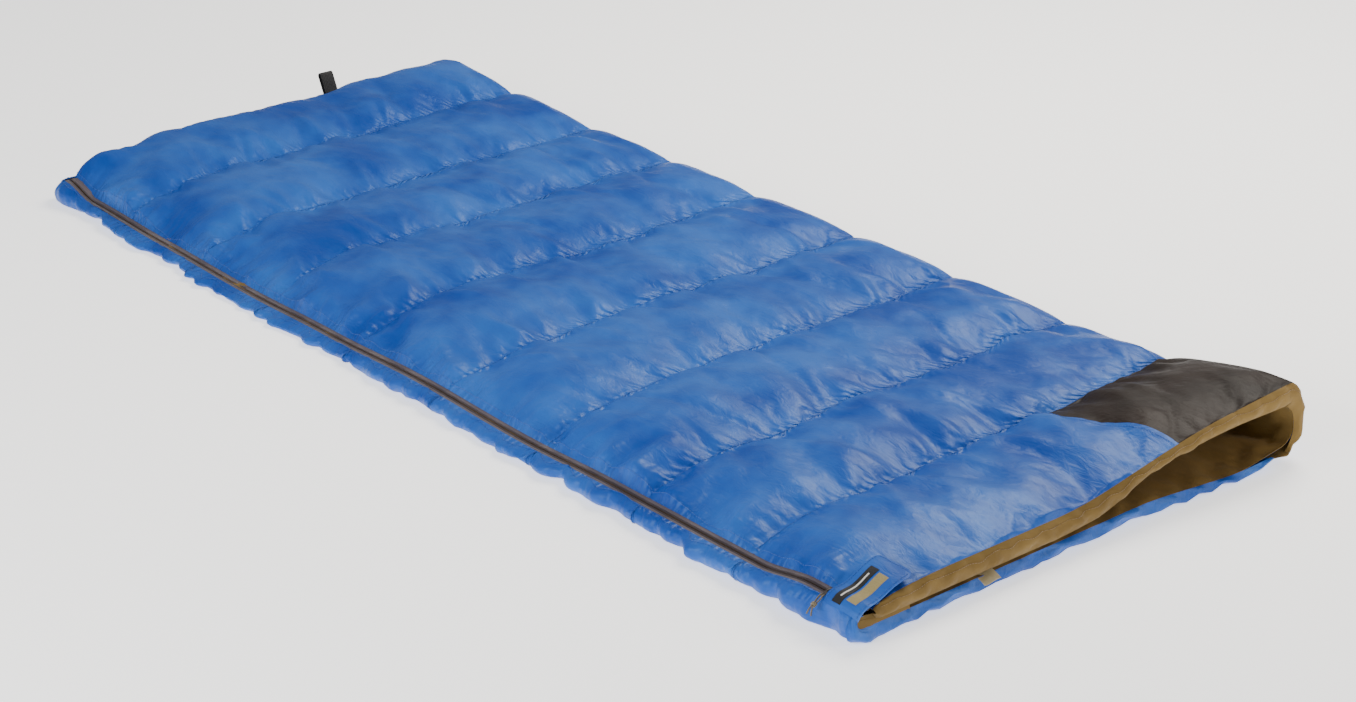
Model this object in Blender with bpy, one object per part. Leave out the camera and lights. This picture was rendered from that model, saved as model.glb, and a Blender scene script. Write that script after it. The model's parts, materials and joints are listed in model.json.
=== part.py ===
# Camp quilt: a rectangular quilted blanket, folded lengthwise and zipped along one side and round the foot.
# Metres. Origin at the middle of the underside, +X towards the mouth, -Y the zip side, +Y the fold, +Z up.
import math

import bmesh
import bpy
from mathutils import Vector

# Driving dimensions
LENGTH = 1.80            # foot to mouth
WIDTH = 0.75             # zip side to fold
CHANNELS = 9             # quilted channels across the width
SKIN = 0.0010            # fabric thickness
GAP = 0.0003             # clearance between neighbouring pieces
FILL_GAP = 0.0008        # clearance between the batt and the fabric round it
FOLD_Z = 0.0440          # height of the line that the upper half folds back about
FOLD_SET = 0.0012        # each half stops this far from that line
BODY_TOP = 0.0700        # top of a channel of the upper half
SEAM_TOP = 0.0540        # the same at a quilting seam
ARCH_RISE = 0.0360       # how much higher the mouth stands at the fold side
UPPER_IN = 0.0425        # underside of the upper lining
SEAM_UPPER_IN = 0.0465
LOWER_IN = 0.0260        # top of the lower lining
SEAM_LOWER_IN = 0.0130
MOUTH_SINK = 0.0140      # how much flatter the lower half lies in the open mouth
SEAM_LIFT = 0.0030       # how far a seam of the lower half is off the ground
ZIP_INSET = 0.0250       # zip's middle line to the outermost edge
ZIP_Z = 0.0365
ZIP_TILT = math.radians(20.0)
TAPE_FROM = 0.0036       # tape's inner and outer edge, from the zip's middle line
TAPE_TO = 0.0140
TAPE_THICK = 0.0007
COIL_FROM = 0.00075
COIL_TO = 0.0033
COIL_THICK = 0.0020
SLIDER_X = 0.838         # slider's middle when the zip is closed
SLIDER_LONG = 0.0130
BAIL_UNDER = 0.0046      # bail's crossbar, above the tapes' middle
BAIL_TOP = 0.0058
CORD_RADIUS = 0.0010     # pull cord
TAB_X = (0.842, 0.898)   # closure tab's two edges
LOOP_Y = 0.145           # middle of the hanging loop
LOOP_WIDE = 0.023

foot = -LENGTH / 2
mouth = LENGTH / 2
zipEdge = -WIDTH / 2
foldLine = WIDTH / 2 - 0.0005
foldFace = foldLine - 0.0010
pitch = LENGTH / CHANNELS

# Edge of the lower half, as (distance in from the outermost edge, height): the bulge under the zip
LOWER_WRAP = [(0.0111, 0.0314), (0.0008, 0.0210), (0.0030, 0.0070), (0.0180, 0.0)]
LOWER_WRAP_FLAT = [0.0111, 0.0130, 0.0150, 0.0180]
LOWER_LINING_EDGE = [(0.0125, 0.0288), (0.0250, 0.0286), (0.0400, 0.0280), (0.0550, 0.0265)]
UPPER_EDGE = [0.0389, 0.0430, 0.0480, 0.0540]
UPPER_EDGE_Z = 0.0416
UPPER_LINING_EDGE_Z = 0.0390
FLAT_Y = [-0.290, -0.120, 0.030, 0.140, 0.300]
PANEL_COLUMN = 7          # column that follows the accent panel's border
PANEL_MOUTH_SHIFT = 0.060  # the border runs this much nearer the fold at the mouth
# Fold side of each half, as (inset from the fold face, share of the rise)
UPPER_FOLD = [(0.0350, 1.0), (0.0145, 0.72), (0.0030, 0.30), (0.0, 0.0)]
UPPER_FOLD_IN = [(0.0435, 1.0), (0.0285, 0.72), (0.0205, 0.30), (0.0190, 0.0)]
LOWER_FOLD = [(0.0350, 0.0), (0.0103, 0.0103), (0.0, 0.0350), (0.0, FOLD_Z - FOLD_SET)]
LOWER_FOLD_IN = [(0.0435, 0.0), (0.0285, 0.20), (0.0205, 0.62), (0.0190, 1.0)]


def clearScene():
    for item in list(bpy.data.objects):
        bpy.data.objects.remove(item, do_unlink=True)


def fabric(name, colour, roughness, metallic=0.0):
    material = bpy.data.materials.new(name)
    material.use_nodes = True
    shader = material.node_tree.nodes["Principled BSDF"]
    shader.inputs["Base Color"].default_value = (*colour, 1.0)
    shader.inputs["Roughness"].default_value = roughness
    shader.inputs["Metallic"].default_value = metallic
    material.diffuse_color = (*colour, 1.0)
    return material


def pivot(name, place):
    """An empty on a joint's axis."""
    empty = bpy.data.objects.new(name, None)
    empty.location = place
    bpy.context.scene.collection.objects.link(empty)
    return empty


def addPart(name, mesh, material, parent=None):
    """Turn a bmesh in row coordinates into an object, hung on its joint's empty where it has one."""
    if mesh.calc_volume(signed=True) < 0:
        bmesh.ops.reverse_faces(mesh, faces=mesh.faces)
    if parent:
        bmesh.ops.translate(mesh, verts=mesh.verts, vec=-parent.location)
    data = bpy.data.meshes.new(name)
    mesh.to_mesh(data)
    mesh.free()
    data.materials.append(material)
    part = bpy.data.objects.new(name, data)
    part.parent = parent
    bpy.context.scene.collection.objects.link(part)
    return part


def smooth(value):
    t = min(max(value, 0.0), 1.0)
    return t * t * (3 - 2 * t)


def mix(a, b, share):
    return a + (b - a) * share


# Lengthwise stations: (x, crown), where crown is 0 on a seam and 1 in the middle of a channel
def channelStations():
    rows = []
    for channel in range(CHANNELS):
        middle = foot + (channel + 0.5) * pitch
        if channel:
            rows.append((middle - pitch / 2, 0.0))
        rows.append((middle - 0.2 * pitch, 1.0))
        rows.append((middle + 0.2 * pitch, 1.0))
    return rows


def archAt(x):
    """0 in the body, 1 at the mouth."""
    return smooth((x - (mouth - 0.30)) / 0.28)


def foldSide(y):
    return smooth((y + 0.06) / 0.34)


def rise(distance, run=0.055):
    t = min(max(distance / run, 0.0), 1.0)
    return math.sqrt(1 - (1 - t) ** 2)


def upperTop(x, y, crown):
    return mix(SEAM_TOP, BODY_TOP, crown) + ARCH_RISE * archAt(x) * foldSide(y)


def upperIn(x, y, crown):
    return mix(SEAM_UPPER_IN, UPPER_IN, crown) + (ARCH_RISE - 0.001) * archAt(x) * foldSide(y)


def lowerIn(x, y, crown):
    return mix(SEAM_LOWER_IN, LOWER_IN, crown) - MOUTH_SINK * archAt(x) * foldSide(y - 0.05)


def panelShift(x):
    return PANEL_MOUTH_SHIFT * smooth((x - (mouth - pitch)) / pitch)


def flatColumns(x):
    shift = [0.0] * len(FLAT_Y)
    shift[PANEL_COLUMN - len(UPPER_EDGE)] = panelShift(x)
    return [y + s for y, s in zip(FLAT_Y, shift)]


def lowerOuterGrid():
    wrapZ = LOWER_WRAP[0][1]
    wrapped = len(LOWER_WRAP)
    rows = [(foot + e, foot + flat, h, 0.0) for (e, h), flat in zip(LOWER_WRAP, LOWER_WRAP_FLAT)]
    rows += [(x, x, 0.0, SEAM_LIFT * (1 - crown)) for x, crown in channelStations()]
    grid = []
    for x, xFlat, rowZ, lift in rows:
        line = []
        for (e, h), flat in zip(LOWER_WRAP, LOWER_WRAP_FLAT):
            y = zipEdge + mix(e, flat, rowZ / wrapZ)
            line.append(Vector((mix(x, xFlat, h / wrapZ), y, rowZ + h - rowZ * h / wrapZ)))
        for y in flatColumns(x):
            line.append(Vector((x, y, rowZ + lift)))
        for e, h in LOWER_FOLD:
            z = max(h, rowZ + h - rowZ * h / wrapZ)
            raised = lift if h < wrapZ / 2 else 0.0
            line.append(Vector((mix(x, xFlat, min(h / wrapZ, 1.0)), foldFace - e, z + raised)))
        grid.append(line)
    # Mouth end, as (inset, insets where it meets the rolled side and the fold, share of the thickness)
    ends = [(0.0120, 0.0120, 0.0120, 0.0), (0.0010, 0.0090, 0.0070, 0.15), (0.0, 0.0060, 0.0030, 0.60),
            (0.0040, 0.0040, 0.0, 0.93)]
    last = grid[-1]
    for inset, rolledInset, foldInset, share in ends:
        line = []
        for j, point in enumerate(last):
            endZ = lowerIn(mouth, point.y, 1.0) * share
            if j < wrapped:
                e, h = LOWER_WRAP[j]
                y = zipEdge + mix(e, LOWER_WRAP_FLAT[j], endZ / wrapZ)
                x = mouth - mix(inset, rolledInset, h / wrapZ)
                line.append(Vector((x, y, h + endZ - h * endZ / wrapZ)))
            elif j < len(last) - 3:
                line.append(Vector((mouth - inset, point.y, endZ)))
            else:
                line.append(Vector((mouth - foldInset, point.y, point.z)))
        grid.append(line)
    return grid


def lowerInnerGrid():
    rows = [(foot + e, 1.0, h) for e, h in LOWER_LINING_EDGE]
    rows += [(x, crown, None) for x, crown in channelStations()]
    rows += [(mouth - inset, 1.0, None) for inset in (0.030, 0.020, 0.012, 0.0070)]
    endZ = FOLD_Z - FOLD_SET
    grid = []
    for x, crown, rowZ in rows:
        line = []
        for e, h in LOWER_LINING_EDGE:
            line.append(Vector((x, zipEdge + e, h if rowZ is None else max(h, rowZ))))
        for y in flatColumns(x):
            line.append(Vector((x, y, lowerIn(x, y, crown) if rowZ is None else rowZ)))
        for e, share in LOWER_FOLD_IN:
            y = foldFace - e
            start = lowerIn(x, y, crown) if rowZ is None else rowZ
            line.append(Vector((x, y, mix(start, endZ, share))))
        grid.append(line)
    return grid


def upperGrid(inner):
    edgeZ = UPPER_LINING_EDGE_Z if inner else UPPER_EDGE_Z
    height = upperIn if inner else upperTop
    fold = UPPER_FOLD_IN if inner else UPPER_FOLD
    endZ = FOLD_Z + FOLD_SET
    rows = [(foot + e, 1.0) for e in UPPER_EDGE]
    rows += channelStations()
    rows += [(mouth - inset, 1.0) for inset in (0.020, 0.012, 0.0055, 0.0030)]
    grid = []
    for x, crown in rows:
        footRise = rise(x - foot - UPPER_EDGE[0])
        line = []
        for e in UPPER_EDGE:
            top = height(x, zipEdge + e, crown)
            line.append(Vector((x, zipEdge + e, mix(edgeZ, top, footRise * rise(e - UPPER_EDGE[0])))))
        for y in flatColumns(x):
            line.append(Vector((x, y, mix(edgeZ, height(x, y, crown), footRise))))
        for e, share in fold:
            y = foldFace - e
            base = mix(endZ, edgeZ, share)
            line.append(Vector((x, y, mix(base, height(x, y, crown), footRise * share))))
        grid.append(line)
    return grid


def offsetGrid(grid, depth):
    """The grid moved by depth against its own normals, which look along +i x +j."""
    rows, columns = len(grid), len(grid[0])
    moved = []
    for i in range(rows):
        line = []
        for j in range(columns):
            along = grid[min(i + 1, rows - 1)][j] - grid[max(i - 1, 0)][j]
            across = grid[i][min(j + 1, columns - 1)] - grid[i][max(j - 1, 0)]
            line.append(grid[i][j] - along.cross(across).normalized() * depth)
        moved.append(line)
    return moved


def crop(grid, rowFrom, rowTo, columnFrom, columnTo):
    return [line[columnFrom:columnTo] for line in grid[rowFrom:rowTo]]


def slab(top, bottom, keep=lambda i, j: True):
    """A closed body between two grids of the same size, over the cells that keep allows."""
    mesh = bmesh.new()
    rows, columns = len(top), len(top[0])
    layers = [[[mesh.verts.new(p) for p in line] for line in grid] for grid in (top, bottom)]
    cells = {(i, j) for i in range(rows - 1) for j in range(columns - 1) if keep(i, j)}
    for i, j in sorted(cells):
        ring = [(i, j), (i + 1, j), (i + 1, j + 1), (i, j + 1)]
        # Both faces are split along the same diagonal, so that neighbouring slabs stay parallel
        for half in ((0, 1, 2), (0, 2, 3)):
            mesh.faces.new([layers[0][ring[k][0]][ring[k][1]] for k in half])
            mesh.faces.new([layers[1][ring[k][0]][ring[k][1]] for k in reversed(half)])
        sides = [(i, j - 1), (i + 1, j), (i, j + 1), (i - 1, j)]
        for k, neighbour in enumerate(sides):
            if neighbour in cells:
                continue
            (a, b), (c, d) = ring[k], ring[(k + 1) % 4]
            mesh.faces.new([layers[0][c][d], layers[0][a][b], layers[1][a][b], layers[1][c][d]])
    loose = [v for v in mesh.verts if not v.link_faces]
    bmesh.ops.delete(mesh, geom=loose, context="VERTS")
    return mesh


# The zip's route: mouth, foot corner, end of the foot run. Each station has its own inward direction.
zipY = zipEdge + ZIP_INSET
zipX = foot + ZIP_INSET


def zipStations(mouthX, foldY):
    return [
        (Vector((mouthX, zipY, ZIP_Z)), Vector((0, 1, 0))),
        (Vector((zipX, zipY, ZIP_Z)), Vector((1, 1, 0))),
        (Vector((zipX, foldY, ZIP_Z)), Vector((1, 0, 0))),
    ]


def zipPoint(middle, inward, u, w):
    """A point u inward from the zip's middle line and w above the tapes."""
    flat = u * math.cos(ZIP_TILT) - w * math.sin(ZIP_TILT)
    return middle + inward * flat + Vector((0, 0, u * math.sin(ZIP_TILT) + w * math.cos(ZIP_TILT)))


def sweep(stations, outline):
    """A closed bar with the outline (u, w) carried along the stations."""
    mesh = bmesh.new()
    rings = [[mesh.verts.new(zipPoint(p, inward, u, w)) for u, w in outline] for p, inward in stations]
    count = len(outline)
    for a, b in zip(rings, rings[1:]):
        for k in range(count):
            n = (k + 1) % count
            mesh.faces.new([a[k], a[n], b[n], b[k]])
    mesh.faces.new(list(reversed(rings[0])))
    mesh.faces.new(rings[-1])
    return mesh


def bar(side, uFrom, uTo, thick):
    low, high = sorted((side * uFrom, side * uTo))
    return [(low, -thick / 2), (high, -thick / 2), (high, thick / 2), (low, thick / 2)]


def coilOutline(side):
    """Flattened octagon."""
    middle = side * (COIL_FROM + COIL_TO) / 2
    halfU = (COIL_TO - COIL_FROM) / 2
    cut = 0.0006
    half = COIL_THICK / 2
    corners = [(halfU, half - cut), (halfU - cut, half), (cut - halfU, half), (-halfU, half - cut)]
    corners += [(-a, -b) for a, b in corners]
    return [(middle + a, b) for a, b in corners]


def prism(stationX, outline, xFrom, xTo):
    """A short bar square to the zip's side run, at stationX."""
    ends = [stationX + xFrom, stationX + xTo]
    return sweep([(Vector((x, zipY, ZIP_Z)), Vector((0, 1, 0))) for x in ends], outline)


def joined(meshes, name, material, parent):
    """Boolean union of overlapping closed shapes into one body."""
    pieces = []
    for k, mesh in enumerate(meshes):
        pieces.append(addPart(name if k == 0 else f"{name}_cut{k}", mesh, material, parent))
    whole = pieces[0]
    for piece in pieces[1:]:
        union = whole.modifiers.new(piece.name, "BOOLEAN")
        union.operation = "UNION"
        union.solver = "EXACT"
        union.object = piece
        piece.hide_render = True
        piece.display_type = "WIRE"
    return whole


def tubeRing(points, radius, sides):
    """A closed wire along a closed, flat loop of points with X as its normal."""
    mesh = bmesh.new()
    rings = []
    count = len(points)
    normal = Vector((1, 0, 0))
    for k, point in enumerate(points):
        tangent = (points[(k + 1) % count] - points[k - 1]).normalized()
        outward = tangent.cross(normal)
        ring = []
        for s in range(sides):
            angle = 2 * math.pi * s / sides
            spoke = outward * math.cos(angle) + normal * math.sin(angle)
            ring.append(mesh.verts.new(point + spoke * radius))
        rings.append(ring)
    for k in range(count):
        a, b = rings[k], rings[(k + 1) % count]
        for s in range(sides):
            n = (s + 1) % sides
            mesh.faces.new([a[s], a[n], b[n], b[s]])
    return mesh


def ribbon(path, thick, low, high, axis):
    """A strip of cloth that follows a path in the plane square to axis ('X' or 'Y'), low to high along it."""
    def place(a, b, along):
        return Vector((along, a, b)) if axis == "X" else Vector((a, along, b))
    inner = []
    for k, (a, b) in enumerate(path):
        before, after = path[max(k - 1, 0)], path[min(k + 1, len(path) - 1)]
        da, db = after[0] - before[0], after[1] - before[1]
        size = math.hypot(da, db)
        inner.append((a + db / size * thick, b - da / size * thick))
    top = [[place(a, b, along) for along in (low, high)] for a, b in path]
    bottom = [[place(a, b, along) for along in (low, high)] for a, b in inner]
    return slab(top, bottom)


def cordTube(name, route, radius, material, parent):
    """A round cord through the route's points, read from a smooth curve."""
    points = []
    for k in range(len(route) - 1):
        p0, p1 = route[max(k - 1, 0)], route[k]
        p2, p3 = route[k + 1], route[min(k + 2, len(route) - 1)]
        for step in range(2):
            t = step / 2
            point = []
            for a, b, c, d in zip(p0, p1, p2, p3):
                square = 2 * a - 5 * b + 4 * c - d
                cube = 3 * b - a - 3 * c + d
                point.append(0.5 * (2 * b + (c - a) * t + square * t ** 2 + cube * t ** 3))
            points.append(point)
    points.append(list(route[-1]))
    curve = bpy.data.curves.new(name, "CURVE")
    curve.dimensions = "3D"
    curve.bevel_depth = radius
    curve.bevel_resolution = 2
    curve.use_fill_caps = True
    spline = curve.splines.new("POLY")
    spline.points.add(len(points) - 1)
    for target, point in zip(spline.points, points):
        target.co = (*(Vector(point) - parent.location), 1.0)
    curve.materials.append(material)
    cord = bpy.data.objects.new(name, curve)
    cord.parent = parent
    bpy.context.scene.collection.objects.link(cord)
    return cord


def ball(centre, radii, segments=10, rings=6):
    mesh = bmesh.new()
    bmesh.ops.create_uvsphere(mesh, u_segments=segments, v_segments=rings, radius=1.0)
    bmesh.ops.scale(mesh, verts=mesh.verts, vec=radii)
    bmesh.ops.translate(mesh, verts=mesh.verts, vec=centre)
    return mesh


clearScene()

shellBlue = fabric("shell_polyester", (0.06, 0.19, 0.60), 0.45)
shellNavy = fabric("lower_shell_polyester", (0.04, 0.13, 0.44), 0.45)
panelBrown = fabric("panel_polyester", (0.045, 0.035, 0.030), 0.55)
liningTan = fabric("lining_polyester", (0.30, 0.20, 0.09), 0.80)
batting = fabric("hollow_fibre", (0.85, 0.85, 0.83), 0.95)
tapeGrey = fabric("zip_tape", (0.08, 0.065, 0.065), 0.80)
coilGrey = fabric("zip_coil", (0.06, 0.05, 0.05), 0.45)
zipMetal = fabric("zip_metal", (0.20, 0.18, 0.17), 0.40, 1.0)
cordBeige = fabric("pull_cord", (0.42, 0.36, 0.28), 0.85)
tabBlue = fabric("tab_polyester", (0.06, 0.19, 0.60), 0.50)
velcroBlue = fabric("hook_and_loop", (0.03, 0.06, 0.18), 0.95)
labelBlack = fabric("woven_label", (0.015, 0.015, 0.016), 0.70)
webbingBlack = fabric("webbing", (0.012, 0.012, 0.013), 0.80)
careWhite = fabric("care_label", (0.75, 0.70, 0.58), 0.75)

# Joint axes
foldAxis = pivot("fold_axis", (0.0, foldLine, FOLD_Z))
sliderAxis = pivot("slider_axis", (SLIDER_X, zipY, ZIP_Z))
bailPoint = zipPoint(Vector((SLIDER_X, zipY, ZIP_Z)), Vector((0, 1, 0)), 0.0, (BAIL_UNDER + BAIL_TOP) / 2)
pullAxis = pivot("pull_axis", bailPoint)
tabAxis = pivot("tab_axis", (sum(TAB_X) / 2, zipEdge + 0.0085, 0.0335))
loopAxis = pivot("loop_axis", (foot + 0.0080, LOOP_Y, 0.0345))

# Both halves of the blanket
lowerOuter = lowerOuterGrid()
lowerInner = lowerInnerGrid()
upperOuter = upperGrid(inner=False)
upperInner = upperGrid(inner=True)
rowCount = len(upperOuter)
columnCount = len(upperOuter[0])
panelRow = rowCount - 4 - 3      # the row on the last quilting seam


def isPanel(i, j):
    return i >= panelRow and j >= PANEL_COLUMN


def clearOfCorners(i, j):
    """Leaves out the two pinched corners at the foot, where there is no room for a batt or a lining."""
    return not (i < 3 and (j < 2 or j >= columnCount - 5))


# Grid normals look up, so the offset of an upper face is positive and of a lower face negative
addPart("lower_shell", slab(lowerOuter, offsetGrid(lowerOuter, -SKIN)), shellNavy)
addPart("lower_lining", slab(lowerInner, offsetGrid(lowerInner, SKIN), clearOfCorners), liningTan)
lowerBatt = [
    crop(offsetGrid(lowerInner, SKIN + FILL_GAP), 1, rowCount - 1, 1, columnCount),
    crop(offsetGrid(lowerOuter, -SKIN - FILL_GAP), 1, rowCount - 1, 1, columnCount),
]
addPart("lower_filling", slab(*lowerBatt, clearOfCorners), batting)

upperSkin = offsetGrid(upperOuter, SKIN)
addPart("upper_shell", slab(upperOuter, upperSkin, lambda i, j: not isPanel(i, j)), shellBlue, foldAxis)
panelFaces = []
for grid in (upperOuter, upperSkin):
    copy = [[p.copy() for p in line] for line in grid]
    for j in range(columnCount):
        copy[panelRow][j].x += GAP
    for i in range(panelRow, rowCount):
        copy[i][PANEL_COLUMN].y += GAP
    panelFaces.append(copy)
addPart("accent_panel", slab(*panelFaces, isPanel), panelBrown, foldAxis)
addPart("upper_lining", slab(offsetGrid(upperInner, -SKIN), upperInner, clearOfCorners), liningTan, foldAxis)
upperBatt = [
    crop(offsetGrid(upperOuter, SKIN + FILL_GAP), 1, rowCount - 1, 1, columnCount),
    crop(offsetGrid(upperInner, -SKIN - FILL_GAP), 1, rowCount - 1, 1, columnCount),
]
addPart("upper_filling", slab(*upperBatt, clearOfCorners), batting, foldAxis)

# Facing round the upper mouth edge, from the shell's edge to the lining's
facing = []
for share, bulge in ((0.0, 0.0004), (0.3, 0.0030), (0.7, 0.0030), (1.0, 0.0004)):
    line = []
    for above, below in zip(upperOuter[-1][1:], upperInner[-1][1:]):
        line.append(above.lerp(below, share) + Vector((bulge, 0, 0)))
    facing.append(line)
facingBack = [[p - Vector((SKIN, 0, 0)) for p in line] for line in facing]
for line in facing[::3]:
    for p in line:
        p.x += GAP
facingBack[0] = [p + Vector((SKIN / 2 + GAP, 0, 0)) for p in facingBack[0]]
facingBack[3] = [p + Vector((SKIN / 2 + GAP, 0, 0)) for p in facingBack[3]]
addPart("upper_mouth_facing", slab(facing, facingBack), liningTan, foldAxis)

# Zip: tapes and coils run down the side and round the foot
tapeEndX = mouth - 0.007
tapeEndY = 0.325
coilEndX = SLIDER_X + 0.0066
stopFrom = coilEndX + 0.0004
coilEndY = 0.318
for half, side, parent in (("lower", -1, None), ("upper", 1, foldAxis)):
    tape = sweep(zipStations(tapeEndX, tapeEndY), bar(side, TAPE_FROM, TAPE_TO, TAPE_THICK))
    addPart(f"{half}_zip_tape", tape, tapeGrey, parent)
    addPart(f"{half}_zip_coil", sweep(zipStations(coilEndX, coilEndY), coilOutline(side)), coilGrey, parent)
    stop = prism(stopFrom, bar(side, 0.0009, 0.0033, 0.0024), 0.0, 0.0040)
    addPart(f"{half}_top_stop", stop, zipMetal, parent)


def footRun(outline, yFrom, yTo):
    return sweep([(Vector((zipX, y, ZIP_Z)), Vector((1, 0, 0))) for y in (yFrom, yTo)], outline)


# Pin box on the lower tape, open at the top, and the insertion pin of the upper tape that lifts out of it
boxOutline = [(-0.0033, -0.0026), (0.0033, -0.0026), (0.0033, -0.0017), (-0.0004, -0.0017), (-0.0004, 0.0016),
              (-0.0033, 0.0016)]
addPart("pin_box", footRun(boxOutline, coilEndY + GAP, coilEndY + 0.0070), zipMetal)
pinOutline = [(0.0004, -0.0010), (0.0030, -0.0010), (0.0030, 0.0010), (0.0004, 0.0010)]
addPart("insertion_pin", footRun(pinOutline, coilEndY + GAP, coilEndY + 0.0090), zipMetal, foldAxis)

# Slider: two plates with lips that guide the coils, a wedge between them and a bail on top
halfLong = SLIDER_LONG / 2
channelHalf = 0.0043
bodyHalf = 0.0055
cavity = 0.00135
lipOpen = 0.00065
plateTop = 0.0025


def plateOutline(sign):
    shape = [(-bodyHalf, lipOpen), (-channelHalf, lipOpen), (-channelHalf, cavity), (channelHalf, cavity),
             (channelHalf, lipOpen), (bodyHalf, lipOpen), (bodyHalf, plateTop), (-bodyHalf, plateTop)]
    return [(u, sign * w) for u, w in shape]


def box(uHalf, wFrom, wTo):
    return [(-uHalf, wFrom), (uHalf, wFrom), (uHalf, wTo), (-uHalf, wTo)]


bailHalf = 0.0006
legFrom, legTo = 0.0030, 0.0045
slider = [
    prism(SLIDER_X, plateOutline(1), -halfLong, halfLong),
    prism(SLIDER_X, plateOutline(-1), -halfLong, halfLong),
    prism(SLIDER_X, box(0.00040, -0.0020, 0.0020), 0.0015, 0.0060),
    prism(SLIDER_X, box(bailHalf, 0.0020, BAIL_TOP), -legTo, -legFrom),
    prism(SLIDER_X, box(bailHalf, 0.0020, BAIL_TOP), legFrom, legTo),
    prism(SLIDER_X, box(bailHalf, BAIL_UNDER, BAIL_TOP), -0.0040, 0.0040),
]
joined(slider, "zip_slider", zipMetal, sliderAxis)

# Puller: an oval wire link round the bail, lying outwards over the lower tape
linkRadius = 0.0018
linkLong = 0.0100
wire = 0.00055
linkPoints = []
linkTilt = math.radians(-12.0)
for end, start in ((0.0, 90.0), (-linkLong, 270.0)):
    for step in range(7):
        angle = math.radians(start - 30.0 * step)
        a = end + linkRadius * math.cos(angle)
        b = linkRadius * math.sin(angle)
        linkPoints.append(Vector((bailPoint.x, bailPoint.y + a * math.cos(linkTilt) - b * math.sin(linkTilt),
                                  bailPoint.z - a * math.sin(linkTilt) + b * math.cos(linkTilt))))
addPart("zip_puller", tubeRing(linkPoints, wire, 6), zipMetal, pullAxis)

# Pull cord: a loop through the link, a knot, and two loose tails over the edge of the lower half
linkEnd = bailPoint + Vector((0, -math.cos(linkTilt), math.sin(linkTilt))) * linkLong
knot = linkEnd + Vector((0.0, -0.0155, -0.0085))
loopRoute = [
    knot + Vector((0.0016, 0.0040, 0.0023)),
    linkEnd + Vector((0.0022, -0.0070, -0.0035)),
    linkEnd + Vector((0.0020, -0.0020, 0.0004)),
    linkEnd + Vector((0.0008, 0.0010, 0.0002)),
    linkEnd + Vector((-0.0008, 0.0010, 0.0002)),
    linkEnd + Vector((-0.0020, -0.0020, 0.0004)),
    linkEnd + Vector((-0.0022, -0.0070, -0.0035)),
    knot + Vector((-0.0016, 0.0040, 0.0023)),
]
cordTube("pull_cord", loopRoute, CORD_RADIUS, cordBeige, pullAxis)
addPart("pull_knot", ball(knot, (0.0033, 0.0034, 0.0030)), cordBeige, pullAxis)
for name, side in (("cord_tail_a", -1), ("cord_tail_b", 1)):
    tail = [
        knot + Vector((side * 0.0012, -0.0036, -0.0022)),
        knot + Vector((side * 0.0018, -0.0065, -0.0055)),
        knot + Vector((side * 0.0026, -0.0085, -0.0100)),
        knot + Vector((side * 0.0030, -0.0095, -0.0145)),
    ]
    cordTube(name, tail, CORD_RADIUS, cordBeige, pullAxis)

# Closure tab: from the lower tape's seam over the end of the zip and onto the upper half


def tabTop(y):
    """Height of the upper half's top under the tab."""
    e = y - zipEdge
    return mix(UPPER_EDGE_Z, upperTop(0.87, y, 1.0), rise(e - UPPER_EDGE[0]))


patchFrom, patchTo = zipEdge + 0.066, zipEdge + 0.090
patchThick = 0.0010
tabThick = 0.0012
stack = 0.0008 + 2 * patchThick + 3 * GAP
tabPath = [(zipEdge + 0.0085, 0.0345), (zipEdge + 0.0125, 0.0440), (zipEdge + 0.0220, 0.0525),
           (zipEdge + 0.0380, 0.0600)]
for step in range(5):
    y = zipEdge + 0.052 + step * 0.0105
    tabPath.append((y, tabTop(y) + stack + tabThick))
addPart("closure_tab", ribbon(tabPath, tabThick, *TAB_X, "X"), tabBlue, tabAxis)


def patchPath(lift):
    return [(y, tabTop(y) + lift) for y in (patchFrom, (patchFrom + patchTo) / 2, patchTo)]


patchX = (TAB_X[0] + 0.006, TAB_X[1] - 0.016)
loopPatch = ribbon(patchPath(0.0008 + patchThick), patchThick, *patchX, "X")
hookPatch = ribbon(patchPath(0.0008 + 2 * patchThick + GAP), patchThick, *patchX, "X")
addPart("loop_patch", loopPatch, velcroBlue, foldAxis)
addPart("hook_patch", hookPatch, velcroBlue, tabAxis)

labelThick = 0.0005
labelPath = [(y, z + GAP + labelThick) for y, z in tabPath[2:7]]
labelX = (TAB_X[0] + 0.010, TAB_X[0] + 0.023)
addPart("woven_label", ribbon(labelPath, labelThick, *labelX, "X"), labelBlack, tabAxis)

# Hanging loop: webbing folded double, standing out of the foot seam
loopLean = math.radians(25.0)
loopLong = 0.061
webThick = 0.0013
legHalf = 0.0050
loopPath = [(-legHalf + 0.0010, 0.0), (-legHalf, 0.012), (-legHalf, loopLong - legHalf)]
for step in range(1, 6):
    angle = math.radians(180.0 - 30.0 * step)
    loopPath.append((legHalf * math.cos(angle), loopLong - legHalf + legHalf * math.sin(angle)))
loopPath += [(legHalf, loopLong - legHalf), (legHalf, 0.012), (legHalf - 0.0010, 0.0)]
leaned = []
for a, b in loopPath:
    leaned.append((loopAxis.location.x + a * math.cos(loopLean) - b * math.sin(loopLean),
                   loopAxis.location.z + a * math.sin(loopLean) + b * math.cos(loopLean)))
webbing = ribbon(leaned, webThick, LOOP_Y - LOOP_WIDE / 2, LOOP_Y + LOOP_WIDE / 2, "Y")
addPart("hanging_loop", webbing, webbingBlack, loopAxis)

# Care label, sewn in under the upper mouth facing
careY = -0.155
careZ = upperIn(mouth, careY, 1.0) - GAP - 0.0006
carePath = [(mouth - 0.022, careZ), (mouth - 0.006, careZ - 0.0008), (mouth + 0.006, careZ - 0.0030)]
addPart("care_label", ribbon(carePath, 0.0004, careY - 0.012, careY + 0.012, "Y"), careWhite, foldAxis)

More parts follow.
